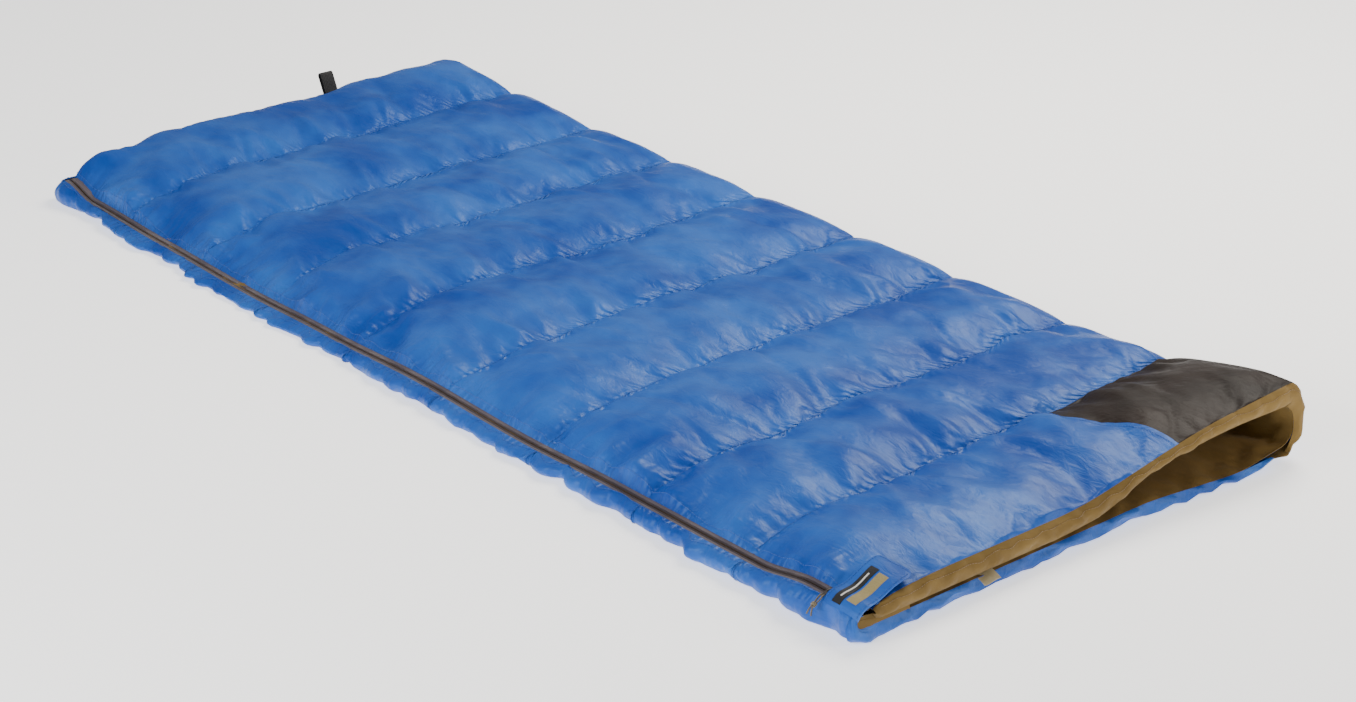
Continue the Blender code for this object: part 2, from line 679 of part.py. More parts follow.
for item in bpy.data.objects:
    if item.type == "MESH":
        item.data.shade_smooth()
        item.data.set_sharp_from_angle(angle=math.radians(35.0))
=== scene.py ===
import json
import math

import bmesh
import bpy
import numpy as np
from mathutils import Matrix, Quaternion, Vector


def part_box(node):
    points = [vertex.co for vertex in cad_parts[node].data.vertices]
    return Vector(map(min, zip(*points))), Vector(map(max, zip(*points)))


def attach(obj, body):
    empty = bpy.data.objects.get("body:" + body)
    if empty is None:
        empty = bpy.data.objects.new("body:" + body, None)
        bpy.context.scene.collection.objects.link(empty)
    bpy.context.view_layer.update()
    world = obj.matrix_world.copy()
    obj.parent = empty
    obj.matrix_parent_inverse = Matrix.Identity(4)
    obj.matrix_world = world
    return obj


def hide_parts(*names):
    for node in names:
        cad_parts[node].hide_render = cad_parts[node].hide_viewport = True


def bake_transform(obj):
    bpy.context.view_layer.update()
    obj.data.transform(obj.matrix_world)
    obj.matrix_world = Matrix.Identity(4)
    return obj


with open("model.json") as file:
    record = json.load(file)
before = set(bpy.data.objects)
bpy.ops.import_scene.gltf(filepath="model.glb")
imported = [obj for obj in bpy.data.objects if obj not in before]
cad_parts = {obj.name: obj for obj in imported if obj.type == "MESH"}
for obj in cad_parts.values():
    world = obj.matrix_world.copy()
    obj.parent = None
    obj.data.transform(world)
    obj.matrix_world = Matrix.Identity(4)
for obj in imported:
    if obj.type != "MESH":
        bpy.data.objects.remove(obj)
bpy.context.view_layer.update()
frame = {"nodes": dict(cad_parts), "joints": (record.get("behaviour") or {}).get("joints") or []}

scene = bpy.context.scene
rng = np.random.default_rng(41)      # every random draw in the file comes from here, in order


def say(text):
    print(f"quilt: {text}")


# Shared helpers: colours, nodes, meshes

def colour(code, alpha=1.0):
    # sRGB hex to the linear values that a socket takes
    parts = [int(code[i:i + 2], 16) / 255 for i in (1, 3, 5)]
    linear = [c / 12.92 if c <= 0.04045 else ((c + 0.055) / 1.055) ** 2.4 for c in parts]
    return (*linear, alpha)


def addNode(tree, kind, values=None, links=None, **settings):
    # one node with its settings, plain values and incoming links
    made = tree.nodes.new(kind)
    for key, value in settings.items():
        setattr(made, key, value)
    for key, value in (values or {}).items():
        made.inputs[key].default_value = value
    for key, source in (links or {}).items():
        tree.links.new(source, made.inputs[key])
    return made


def smooth(value):
    t = np.clip(value, 0.0, 1.0)
    return t * t * (3 - 2 * t)


def mix(a, b, share):
    return a + (b - a) * share


def easeThrough(x, knots):
    # a curve through (x, value) knots that is level at each of them
    xs = np.array([k[0] for k in knots])
    values = np.array([k[1] for k in knots])
    at = np.clip(np.searchsorted(xs, x, side="right") - 1, 0, len(xs) - 2)
    t = smooth((x - xs[at]) / (xs[at + 1] - xs[at]))
    return mix(values[at], values[at + 1], t)


def ripple(a, b, longest, shortest, waves=9):
    # a gentle random relief between -1 and 1, made of crossing waves
    total = np.zeros(np.broadcast(a, b).shape)
    for _ in range(waves):
        length = math.exp(rng.uniform(math.log(shortest), math.log(longest)))
        angle = rng.uniform(0, math.pi)
        phase = rng.uniform(0, 2 * math.pi)
        total += np.sin(2 * math.pi * (a * math.cos(angle) + b * math.sin(angle)) / length + phase)
    return total / math.sqrt(waves)


def unit(vectors):
    return vectors / np.maximum(np.linalg.norm(vectors, axis=-1, keepdims=True), 1e-12)


def gridQuads(index):
    return np.stack([index[:-1, :-1], index[1:, :-1], index[1:, 1:], index[:-1, 1:]], -1).reshape(-1, 4)


def travelled(points, axis=0):
    # distance along the points of a path or a grid, from its first one
    first = np.take(points, [0], axis)
    return np.cumsum(np.linalg.norm(np.diff(points, axis=axis, prepend=first), axis=-1), axis=axis)


def linked(name, data):
    made = bpy.data.objects.new(name, data)
    scene.collection.objects.link(made)
    return made


def gridNormals(points):
    return unit(np.cross(np.gradient(points, axis=0), np.gradient(points, axis=1)))


def meshPiece(name, vertices, faces, material, loopNormals=None, uv=None):
    mesh = bpy.data.meshes.new(name)
    mesh.from_pydata(np.asarray(vertices).tolist(), [], [list(f) for f in faces])
    if uv is not None:
        layer = mesh.uv_layers.new(name="clothMetres")
        layer.data.foreach_set("uv", np.asarray(uv, np.float32).ravel())
    mesh.materials.append(material)
    mesh.shade_smooth()
    if loopNormals is not None:
        mesh.normals_split_custom_set(np.asarray(loopNormals).tolist())
    return linked(name, mesh)


def fabricPiece(name, points, normals, keep, thick, material, gathered=None):
    # a layer of cloth over the kept cells of a grid, with its back face and its cut edges
    index = np.arange(points.shape[0] * points.shape[1]).reshape(points.shape[:2])
    keep = np.broadcast_to(keep, (points.shape[0] - 1, points.shape[1] - 1))
    quads = gridQuads(index)[keep.ravel()]
    used = np.unique(quads)
    place = np.zeros(index.size, int)
    place[used] = np.arange(len(used))
    quads = place[quads]
    front = points.reshape(-1, 3)[used]
    facing = normals.reshape(-1, 3)[used]
    across = travelled(points, 1)
    flat = np.stack([travelled(points).mean(1)[:, None] + 0 * across, across], -1).reshape(-1, 2)[used]
    steps = np.concatenate([quads[:, [k, (k + 1) % 4]] for k in range(4)])
    known = set(map(tuple, steps.tolist()))
    rim = np.array(sorted((a, b) for a, b in known if (b, a) not in known))
    count = len(used)
    back = quads[:, ::-1] + count
    edge = np.stack([rim[:, 1], rim[:, 0], rim[:, 0] + count, rim[:, 1] + count], 1)
    faces = np.concatenate([quads, back, edge])
    vertices = np.concatenate([front, front - facing * thick])
    both = np.concatenate([facing, -facing])
    loops = both[faces]
    corner = vertices[edge]
    outward = unit(np.cross(corner[:, 1] - corner[:, 0], corner[:, 3] - corner[:, 0]))
    loops[-len(edge):] = outward[:, None, :]
    uv = np.concatenate([flat, flat])[faces]
    piece = meshPiece(name, vertices, faces, material, loops.reshape(-1, 3), uv.reshape(-1, 2))
    if gathered is not None:
        values = np.tile(gathered.reshape(-1, 3)[used], (2, 1))
        attribute = piece.data.attributes.new("gathered", "FLOAT_VECTOR", "POINT")
        attribute.data.foreach_set("vector", values.ravel())
    return piece


def ringOf(radius, count):
    return [(radius * math.cos(a), radius * math.sin(a))
            for a in np.linspace(0, 2 * math.pi, count, endpoint=False)]


def sweptPiece(name, centres, sides, ups, outline, material):
    # an outline (side, up) carried along centres and capped at both ends
    outline = np.asarray(outline)
    rings = centres[:, None, :] + sides[:, None, :] * outline[None, :, :1] + ups[:, None, :] * outline[None, :, 1:]
    count, around = rings.shape[:2]
    index = np.arange(count * around).reshape(count, around)
    before, after = index[:-1], index[1:]
    quads = np.stack([before, np.roll(before, -1, 1), np.roll(after, -1, 1), after], -1).reshape(-1, 4)
    faces = [list(q) for q in quads] + [list(index[0, ::-1]), list(index[-1])]
    lengths, girth = travelled(centres), travelled(outline)
    uv = [(lengths[v // around], girth[v % around]) for face in faces for v in face]
    piece = meshPiece(name, rings.reshape(-1, 3), faces, material, None, uv)
    fixed = bmesh.new()
    fixed.from_mesh(piece.data)
    if fixed.calc_volume(signed=True) < 0:
        bmesh.ops.reverse_faces(fixed, faces=fixed.faces)
    fixed.to_mesh(piece.data)
    fixed.free()
    piece.data.shade_smooth()
    piece.data.set_sharp_from_angle(angle=math.radians(50))
    return piece


def give(piece, body, slotName, *nodes):
    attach(piece, body)
    if nodes:
        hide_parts(*nodes)
    return piece


# Materials

def bareMaterial(name, **values):
    # a material with its tree and shader; values name sockets, with _ for a space
    material = bpy.data.materials.new(name)
    material.use_nodes = True
    shader = material.node_tree.nodes["Principled BSDF"]
    for key, value in values.items():
        shader.inputs[key.replace("_", " ")].default_value = value
    return material, material.node_tree, shader


def twoTone(tree, shader, source, tones, stops=(0.0, 1.0)):
    # base colour between two tones, each reached at its stop
    ramp = addNode(tree, "ShaderNodeValToRGB", None, {"Fac": source})
    for k in (0, 1):
        ramp.color_ramp.elements[k].position = stops[k]
        ramp.color_ramp.elements[k].color = colour(tones[k])
    tree.links.new(ramp.outputs["Color"], shader.inputs["Base Color"])


def bands(tree, place, direction, **values):
    # a wave pattern in the piece's own metres; its spacing is 0.314 / scale
    inputs = {key.replace("_", " "): value for key, value in values.items()}
    return addNode(tree, "ShaderNodeTexWave", inputs, {"Vector": place.outputs["UV"]},
                   wave_type="BANDS", bands_direction=direction)


def wovenCloth(name, finish):
    # a thin woven cloth: two close tones, a soft sheen, crease relief and a fine thread grid
    material, tree, shader = bareMaterial(
        name, Sheen_Weight=finish["sheen"], Sheen_Roughness=0.4, Specular_IOR_Level=finish["gloss"],
        Specular_Tint=colour(finish.get("tint", "#ffffff")))
    place = addNode(tree, "ShaderNodeTexCoord")
    tone = addNode(tree, "ShaderNodeTexNoise", {"Scale": finish["toneScale"], "Detail": 3.0, "Roughness": 0.6},
                   {"Vector": place.outputs["Object"]})
    twoTone(tree, shader, tone.outputs["Fac"], (finish["dark"], finish["light"]), (0.36, 0.66))
    stretch = addNode(tree, "ShaderNodeMapping", {"Scale": (0.4, 1.0, 1.0)}, {"Vector": place.outputs["Object"]})
    crease = addNode(tree, "ShaderNodeTexNoise",
                     {"Scale": finish["creaseScale"], "Detail": 5.0, "Roughness": 0.55, "Distortion": 1.1},
                     {"Vector": stretch.outputs["Vector"]})
    creaseBump = addNode(tree, "ShaderNodeBump", {"Strength": finish["creaseStrength"], "Distance": 0.003},
                         {"Height": crease.outputs["Fac"]})
    if finish.get("gathers"):
        # crinkles square to a stitched line, where the cloth is gathered: x beside a seam, y beside the zip
        gather = addNode(tree, "ShaderNodeAttribute", attribute_name="gathered")
        parts = addNode(tree, "ShaderNodeSeparateXYZ", None, {"Vector": gather.outputs["Vector"]})
        for direction, part in (("Y", "X"), ("X", "Y")):
            wave = bands(tree, place, direction, Scale=24.0, Distortion=11.0, Detail=2.5, Detail_Scale=0.6)
            height = addNode(tree, "ShaderNodeMath", None, {0: wave.outputs["Fac"], 1: parts.outputs[part]},
                             operation="MULTIPLY")
            creaseBump = addNode(tree, "ShaderNodeBump", {"Strength": finish["gathers"], "Distance": 0.0016},
                                 {"Height": height.outputs["Value"], "Normal": creaseBump.outputs["Normal"]})
    for direction in ("X", "Y"):
        threads = bands(tree, place, direction, Scale=finish["threadScale"], Distortion=0.4)
        creaseBump = addNode(tree, "ShaderNodeBump", {"Strength": finish["threadStrength"], "Distance": 0.0003},
                             {"Height": threads.outputs["Fac"], "Normal": creaseBump.outputs["Normal"]})
    tree.links.new(creaseBump.outputs["Normal"], shader.inputs["Normal"])
    levels = {"To Min": finish["rough"] - 0.05, "To Max": finish["rough"] + 0.07}
    rough = addNode(tree, "ShaderNodeMapRange", levels, {"Value": crease.outputs["Fac"]})
    tree.links.new(rough.outputs["Result"], shader.inputs["Roughness"])
    return material


shellCloth = wovenCloth("polyesterTaffetaCalendered", {      # hot-rolled face: broad soft highlights
    "dark": "#0c429c", "light": "#2b64bb", "toneScale": 8.0, "creaseScale": 80.0, "creaseStrength": 0.42,
    "threadScale": 260.0, "threadStrength": 0.06, "rough": 0.41, "sheen": 0.0, "gloss": 0.52,
    "tint": "#a0c0e2", "gathers": 0.8})
panelCloth = wovenCloth("polyesterTaffetaBrown", {           # same weave, dyed dark and less glossy
    "dark": "#1d1613", "light": "#2a201c", "toneScale": 9.0, "creaseScale": 95.0, "creaseStrength": 0.30,
    "threadScale": 230.0, "threadStrength": 0.10, "rough": 0.50, "sheen": 0.0, "gloss": 0.20})
liningCloth = wovenCloth("brushedPolyesterLining", {         # brushed face: matt, with a warm bloom
    "dark": "#6b552c", "light": "#80683b", "toneScale": 7.0, "creaseScale": 60.0, "creaseStrength": 0.30,
    "threadScale": 240.0, "threadStrength": 0.12, "rough": 0.78, "sheen": 0.10, "gloss": 0.15})
careCloth = wovenCloth("printedSatinTag", {                  # smooth satin ribbon, slightly yellowed white
    "dark": "#b3a682", "light": "#c6ba98", "toneScale": 60.0, "creaseScale": 140.0, "creaseStrength": 0.15,
    "threadScale": 420.0, "threadStrength": 0.10, "rough": 0.50, "sheen": 0.10, "gloss": 0.4})
labelCloth = wovenCloth("damaskWovenLabel", {                # dense damask: black, with a dry low shine
    "dark": "#0c0c0e", "light": "#17171a", "toneScale": 90.0, "creaseScale": 160.0, "creaseStrength": 0.10,
    "threadScale": 420.0, "threadStrength": 0.35, "rough": 0.62, "sheen": 0.15, "gloss": 0.35})


def ribbedCloth(name, finish):
    # narrow woven tape or webbing: ribs across and a selvedge line along, in the piece's own metres
    material, tree, shader = bareMaterial(name, Roughness=finish["rough"], Sheen_Weight=0.2,
                                          Specular_IOR_Level=0.35)
    place = addNode(tree, "ShaderNodeTexCoord")
    ribs = bands(tree, place, "X", Scale=finish["ribScale"], Distortion=0.6, Detail=1.0)
    warps = bands(tree, place, "Y", Scale=finish["warpScale"], Distortion=0.3)
    weave = addNode(tree, "ShaderNodeMath", None, {0: ribs.outputs["Fac"], 1: warps.outputs["Fac"]},
                    operation="MULTIPLY")
    twoTone(tree, shader, weave.outputs["Value"], (finish["dark"], finish["light"]))
    bump = addNode(tree, "ShaderNodeBump", {"Strength": finish["relief"], "Distance": 0.0004},
                   {"Height": weave.outputs["Value"]})
    tree.links.new(bump.outputs["Normal"], shader.inputs["Normal"])
    return material


tapeCloth = ribbedCloth("polyesterZipTapeWoven", {           # grey-brown twill: fine ribs, no shine
    "dark": "#51474b", "light": "#776c72", "ribScale": 210.0, "warpScale": 180.0, "relief": 0.5, "rough": 0.75})
webbingCloth = ribbedCloth("polypropyleneWebbingWoven", {    # black webbing: bold ribs that catch the light
    "dark": "#08080a", "light": "#232326", "ribScale": 140.0, "warpScale": 110.0, "relief": 0.9, "rough": 0.6})
cordBraid = ribbedCloth("polyesterCordBraided", {            # beige braid: crossing plaits, soft and matt
    "dark": "#6e6149", "light": "#c8b998", "ribScale": 260.0, "warpScale": 330.0, "relief": 1.0, "rough": 0.8})


def plainFinish(name, tones, rough, scale, strength, metallic=0.0, sheen=0.0):
    # a moulded, cast, spun or printed finish: grain in the relief and in the roughness
    material, tree, shader = bareMaterial(name, Metallic=metallic, Sheen_Weight=sheen)
    place = addNode(tree, "ShaderNodeTexCoord")
    grain = addNode(tree, "ShaderNodeTexNoise", {"Scale": scale, "Detail": 4.0, "Roughness": 0.6},
                    {"Vector": place.outputs["Object"]})
    twoTone(tree, shader, grain.outputs["Fac"], tones, (0.3, 0.7))
    bump = addNode(tree, "ShaderNodeBump", {"Strength": strength, "Distance": 0.0005},
                   {"Height": grain.outputs["Fac"]})
    tree.links.new(bump.outputs["Normal"], shader.inputs["Normal"])
    level = addNode(tree, "ShaderNodeMapRange", {"To Min": rough - 0.06, "To Max": rough + 0.06},
                    {"Value": grain.outputs["Fac"]})
    tree.links.new(level.outputs["Result"], shader.inputs["Roughness"])
    return material


coilNylon = plainFinish("nylonCoilMonofilament", ("#4b4346", "#645a5e"), 0.38, 900.0, 0.1)    # glossy filament
zipZinc = plainFinish("zincDieCastLacquered", ("#6a6460", "#8d8782"), 0.34, 700.0, 0.15, 1.0)  # dull grey metal
hookNylon = plainFinish("hookAndLoopNylon", ("#16306e", "#1f3f86"), 0.9, 1500.0, 1.0, 0.0, 0.5)      # fuzzy
battFibre = plainFinish("hollowFibreBatt", ("#d8d8d4", "#efefec"), 0.95, 120.0, 1.0, 0.0, 0.4)  # white fleece
printKhaki = plainFinish("screenPrintKhaki", ("#8b7c50", "#a08f60"), 0.6, 600.0, 0.2)          # flat ink on cloth
printPale = plainFinish("screenPrintPale", ("#c9c7c2", "#dcdad6"), 0.6, 600.0, 0.2)
threadBlue = plainFinish("spunThreadBlue", ("#17489c", "#2560c0"), 0.6, 2500.0, 0.5, 0.0, 0.3)  # matched thread
threadTan = plainFinish("spunThreadTan", ("#6e5530", "#8a6d42"), 0.65, 2500.0, 0.5, 0.0, 0.3)
say("materials are made")

# The quilt's own measures

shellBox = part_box("lower_shell")
foot, mouth = shellBox[0][0], shellBox[1][0]
zipEdge, foldFace = shellBox[0][1], shellBox[1][1]
zipLine = {
    "inset": 0.0250,      # zip's middle line to the outermost edge
    "height": 0.0365,
    "tilt": math.radians(20.0),
    "shellFrom": 0.0068,  # where the shell cloth starts, from the middle line
    "foldEnd": 0.325,     # end of the foot run
    "pull": 0.14,         # how far in the top follows the zip up and down
    # how far the closed zip rides above or below its mean height; nil where the slider stops
    "wave": [(-0.90, 0.0), (-0.875, -0.002), (-0.80, -0.018), (-0.60, -0.022), (-0.36, -0.025),
             (-0.16, -0.021), (0.06, -0.015), (0.27, -0.019), (0.47, -0.014), (0.62, -0.013),
             (0.72, -0.012), (0.81, 0.0), (0.90, 0.0)],
}
quilt = {
    "step": 0.0052,       # outer cloth grid, lengthwise and across the top
    "liningStep": 0.0105,
    "seams": [-0.70, -0.49, -0.30, -0.095, 0.115, 0.315, 0.52, 0.705],
    "seamSway": 0.0045,   # how far a quilting line wanders
    "seamTop": 0.0545,
    "crownTop": 0.0655,
    "crownPower": 3.2,    # how flat a channel is on top
    "crowding": 0.55,     # how much the rows crowd towards the seams
    "arch": 0.0360,       # extra height of the open mouth at the fold side
    "shoulder": 0.080,    # how far in from the zip the top reaches its full height
    "mouthShoulder": 0.125,
    "mouthReach": 0.012,  # how much further the mouth sticks out at the fold side
    "foldRun": 0.0350,
    "foldHeight": 0.0440,
    "footRound": 0.042,   # how far in from the foot the top reaches its full height
    "footBulge": 0.018,   # how far the foot's padding hangs out over its zip
    "footBulgeRun": 0.07,
    "seamLift": 0.0030,
    "tipLift": 0.0150,
    "hemDrop": 0.0125,    # how far the top falls to its hem at the mouth, zip side
    "hemRun": 0.07,
    "foldIn": 0.0190,     # padding inside the fold
    "foldTurn": 0.0245,   # how far the lining bows in over the fold
    "liningFlat": 0.0435, # where the lining leaves its bow, from the fold
    "panelY": 0.105,      # border of the dark panel, at its quilting line
    "panelShift": 0.045,  # and how much nearer the fold it is at the mouth
    "cloth": 0.0006,
}
zipY = zipEdge + zipLine["inset"]
zipX = foot + zipLine["inset"]
cosTilt, sinTilt = math.cos(zipLine["tilt"]), math.sin(zipLine["tilt"])
edgeOut = zipLine["shellFrom"] * cosTilt
edgeUp = zipLine["shellFrom"] * sinTilt
upperEdgeZ = zipLine["height"] + edgeUp + 0.0012
lowerEdgeZ = zipLine["height"] - edgeUp + 0.0008
mouthEdge = mouth - 0.003        # where the upper half turns in at the mouth
lipStart = mouth - 0.012         # and the lower half
liningFrom, liningTo = foot + 0.022, mouth - 0.0045
flatFold = foldFace - quilt["foldRun"]


def zipWave(x):
    return easeThrough(x, zipLine["wave"])


# heights of the lining, at a seam and at a crown, and how far the mouth lifts or shuts them
inside = {
    "upper": (0.0465, 0.0440), "upperShut": 0.0190, "archClear": 0.001,
    "lower": (0.0130, 0.0240), "lowerShut": 0.0045, "lowerArch": 0.014,
}


def archAt(x):
    # 0 in the body, 1 at the open mouth
    return smooth((x - (mouth - 0.30)) / 0.28)


def foldSide(y):
    # 0 on the zip's half of the width, 1 near the fold
    return smooth((y + 0.06) / 0.34)


def rise(distance, run=0.055):
    # a quarter circle: 0 at the edge, 1 from run metres on
    t = np.clip(distance / run, 0.0, 1.0)
    return np.sqrt(1 - (1 - t) ** 2)


# each seam's size of wander, long wave and its phase, short wave and its phase
seamWaves = [[rng.uniform(*span) for span in ((0.6, 1.2), (0.25, 0.45), (0, 6.28), (0.10, 0.16), (0, 6.28))]
             for _ in quilt["seams"]]


def sway(x, y):
    # quilting lines wander a little, and the cloth between them goes with them
    marks = np.array([foot] + quilt["seams"] + [mouth])
    still = np.zeros_like(x + y)
    wander = [quilt["seamSway"] * size * (np.sin(2 * math.pi * y / longWave + phaseA)
                                          + 0.4 * np.sin(2 * math.pi * y / shortWave + phaseB))
              for size, longWave, phaseA, shortWave, phaseB in seamWaves]
    at = np.clip(np.searchsorted(marks, x, side="right") - 1, 0, len(marks) - 2)
    t = np.clip((x - marks[at]) / (marks[at + 1] - marks[at]), 0, 1)
    stack = np.stack([np.broadcast_to(o, still.shape) for o in [still] + wander + [still]])
    before, after = (np.take_along_axis(stack, np.broadcast_to(k, still.shape)[None], 0)[0] for k in (at, at + 1))
    return mix(before, after, t)


def channelRows(first, last, step):
    # rows along the quilt: place between the marks, share of the channel, and whether a seam lies there
    marks = [first] + quilt["seams"] + [last]
    rows = []
    for k, (a, b) in enumerate(zip(marks, marks[1:])):
        count = max(round((b - a) / step), 2)
        even = np.arange(count) / count
        closer = even - quilt["crowding"] * np.sin(2 * math.pi * even) / (2 * math.pi)
        rows += [(k, share, k > 0 and m == 0) for m, share in enumerate(closer)]
    rows.append((len(marks) - 2, 1.0, False))
    channel, share, seam = (np.array(part) for part in zip(*rows))
    curve = 1 - abs(2 * share - 1) ** quilt["crownPower"]
    curve = np.where((channel == 0) & (share < 0.5), 1.0, curve)
    curve = np.where((channel == len(marks) - 2) & (share > 0.5), 1.0, curve)
    return channel, share, seam, curve


def alongMarks(first, last, channel, share):
    marks = np.array([first] + quilt["seams"] + [last])
    return mix(marks[channel], marks[channel + 1], share)


def mouthShut(x, y):
    # 1 where the two halves lie on each other at the mouth, towards the zip
    return smooth((x - (mouth - 0.16)) / 0.14) * (1 - smooth((y - 0.01) / 0.12))


def upperInside(x, y, crown):
    arched = (quilt["arch"] - inside["archClear"]) * archAt(x) * foldSide(y)
    return mix(*inside["upper"], crown) + arched - inside["upperShut"] * mouthShut(x, y)


def lowerInside(x, y, crown):
    hollow = inside["lowerArch"] * archAt(x) * foldSide(y - 0.05)
    return mix(*inside["lower"], crown) - hollow - inside["lowerShut"] * mouthShut(x, y)


# Roll of the lower half under the zip: (in from the outermost edge, height), from the ground up to the tape
rollShape = [(0.0200, 0.0), (0.0105, 0.0012), (0.0038, 0.0060), (0.0004, 0.0135), (-0.0006, 0.0205),
             (0.0018, 0.0280), (0.0072, 0.0336), (0.0132, 0.0360), (zipLine["inset"] - edgeOut, lowerEdgeZ)]
rollLengths = np.concatenate([[0], np.cumsum([math.dist(a, b) for a, b in zip(rollShape, rollShape[1:])])])
rollLength = rollLengths[-1]


def rollAt(distance):
    # distance from the tape, along the cloth: (inset, height, inset where the other roll is full height)
    s = np.clip(rollLength - distance, 0, rollLength)
    inset = np.interp(s, rollLengths, [p[0] for p in rollShape])
    height = np.interp(s, rollLengths, [p[1] for p in rollShape])
    beyond = np.clip(distance - rollLength, 0, None)
    full = mix(rollShape[-1][0], rollShape[0][0], np.clip(distance / rollLength, 0, 1)) + beyond
    return inset + beyond, height, full


# extra height of a channel's crown, as (x, amount) knots for the zip side, the middle and the fold side
topSwell = {
    "zip": [(-0.90, 0.012), (-0.72, 0.004), (-0.5, 0.0), (0.9, 0.0)],
    "middle": [(-0.90, 0.016), (-0.70, 0.006), (-0.50, 0.0), (0.9, 0.0)],
    "fold": [(-0.90, 0.026), (-0.72, 0.012), (-0.50, 0.0), (0.9, 0.0)],
}


def reach(x, y):
    # how far the mouth sticks out
    return quilt["mouthReach"] * smooth((x - (mouth - 0.25)) / 0.25) * smooth((y - 0.05) / 0.30)


def tipAt(x, y):
    # the mouth's corner at the fold, which curls up
    return smooth((x - (mouth - 0.16)) / 0.16) * smooth((y - 0.24) / 0.12)


def swellAt(x, y):
    near, middle, far = (easeThrough(x, topSwell[k]) for k in ("zip", "middle", "fold"))
    return np.where(y < 0, mix(middle, near, smooth(-y / 0.33)), mix(middle, far, smooth(y / 0.30)))


lip = {
    # how far the lower half's lip lies behind the mouth's plane, at shares of the way in
    "inset": [(0.0, 0.012), (0.1, 0.004), (0.26, 0.001), (0.5, 0.0), (0.8, 0.0012), (1.0, 0.0045)],
    "puff": 0.006,        # how far the upper half's facing bulges
    "drop": 0.006,        # inner edge of the facing below the tape, at the zip's corner
    "cornerRun": 0.016,
}


# Outer skin: one sheet from the upper tape over the top, round the fold and under to the lower tape

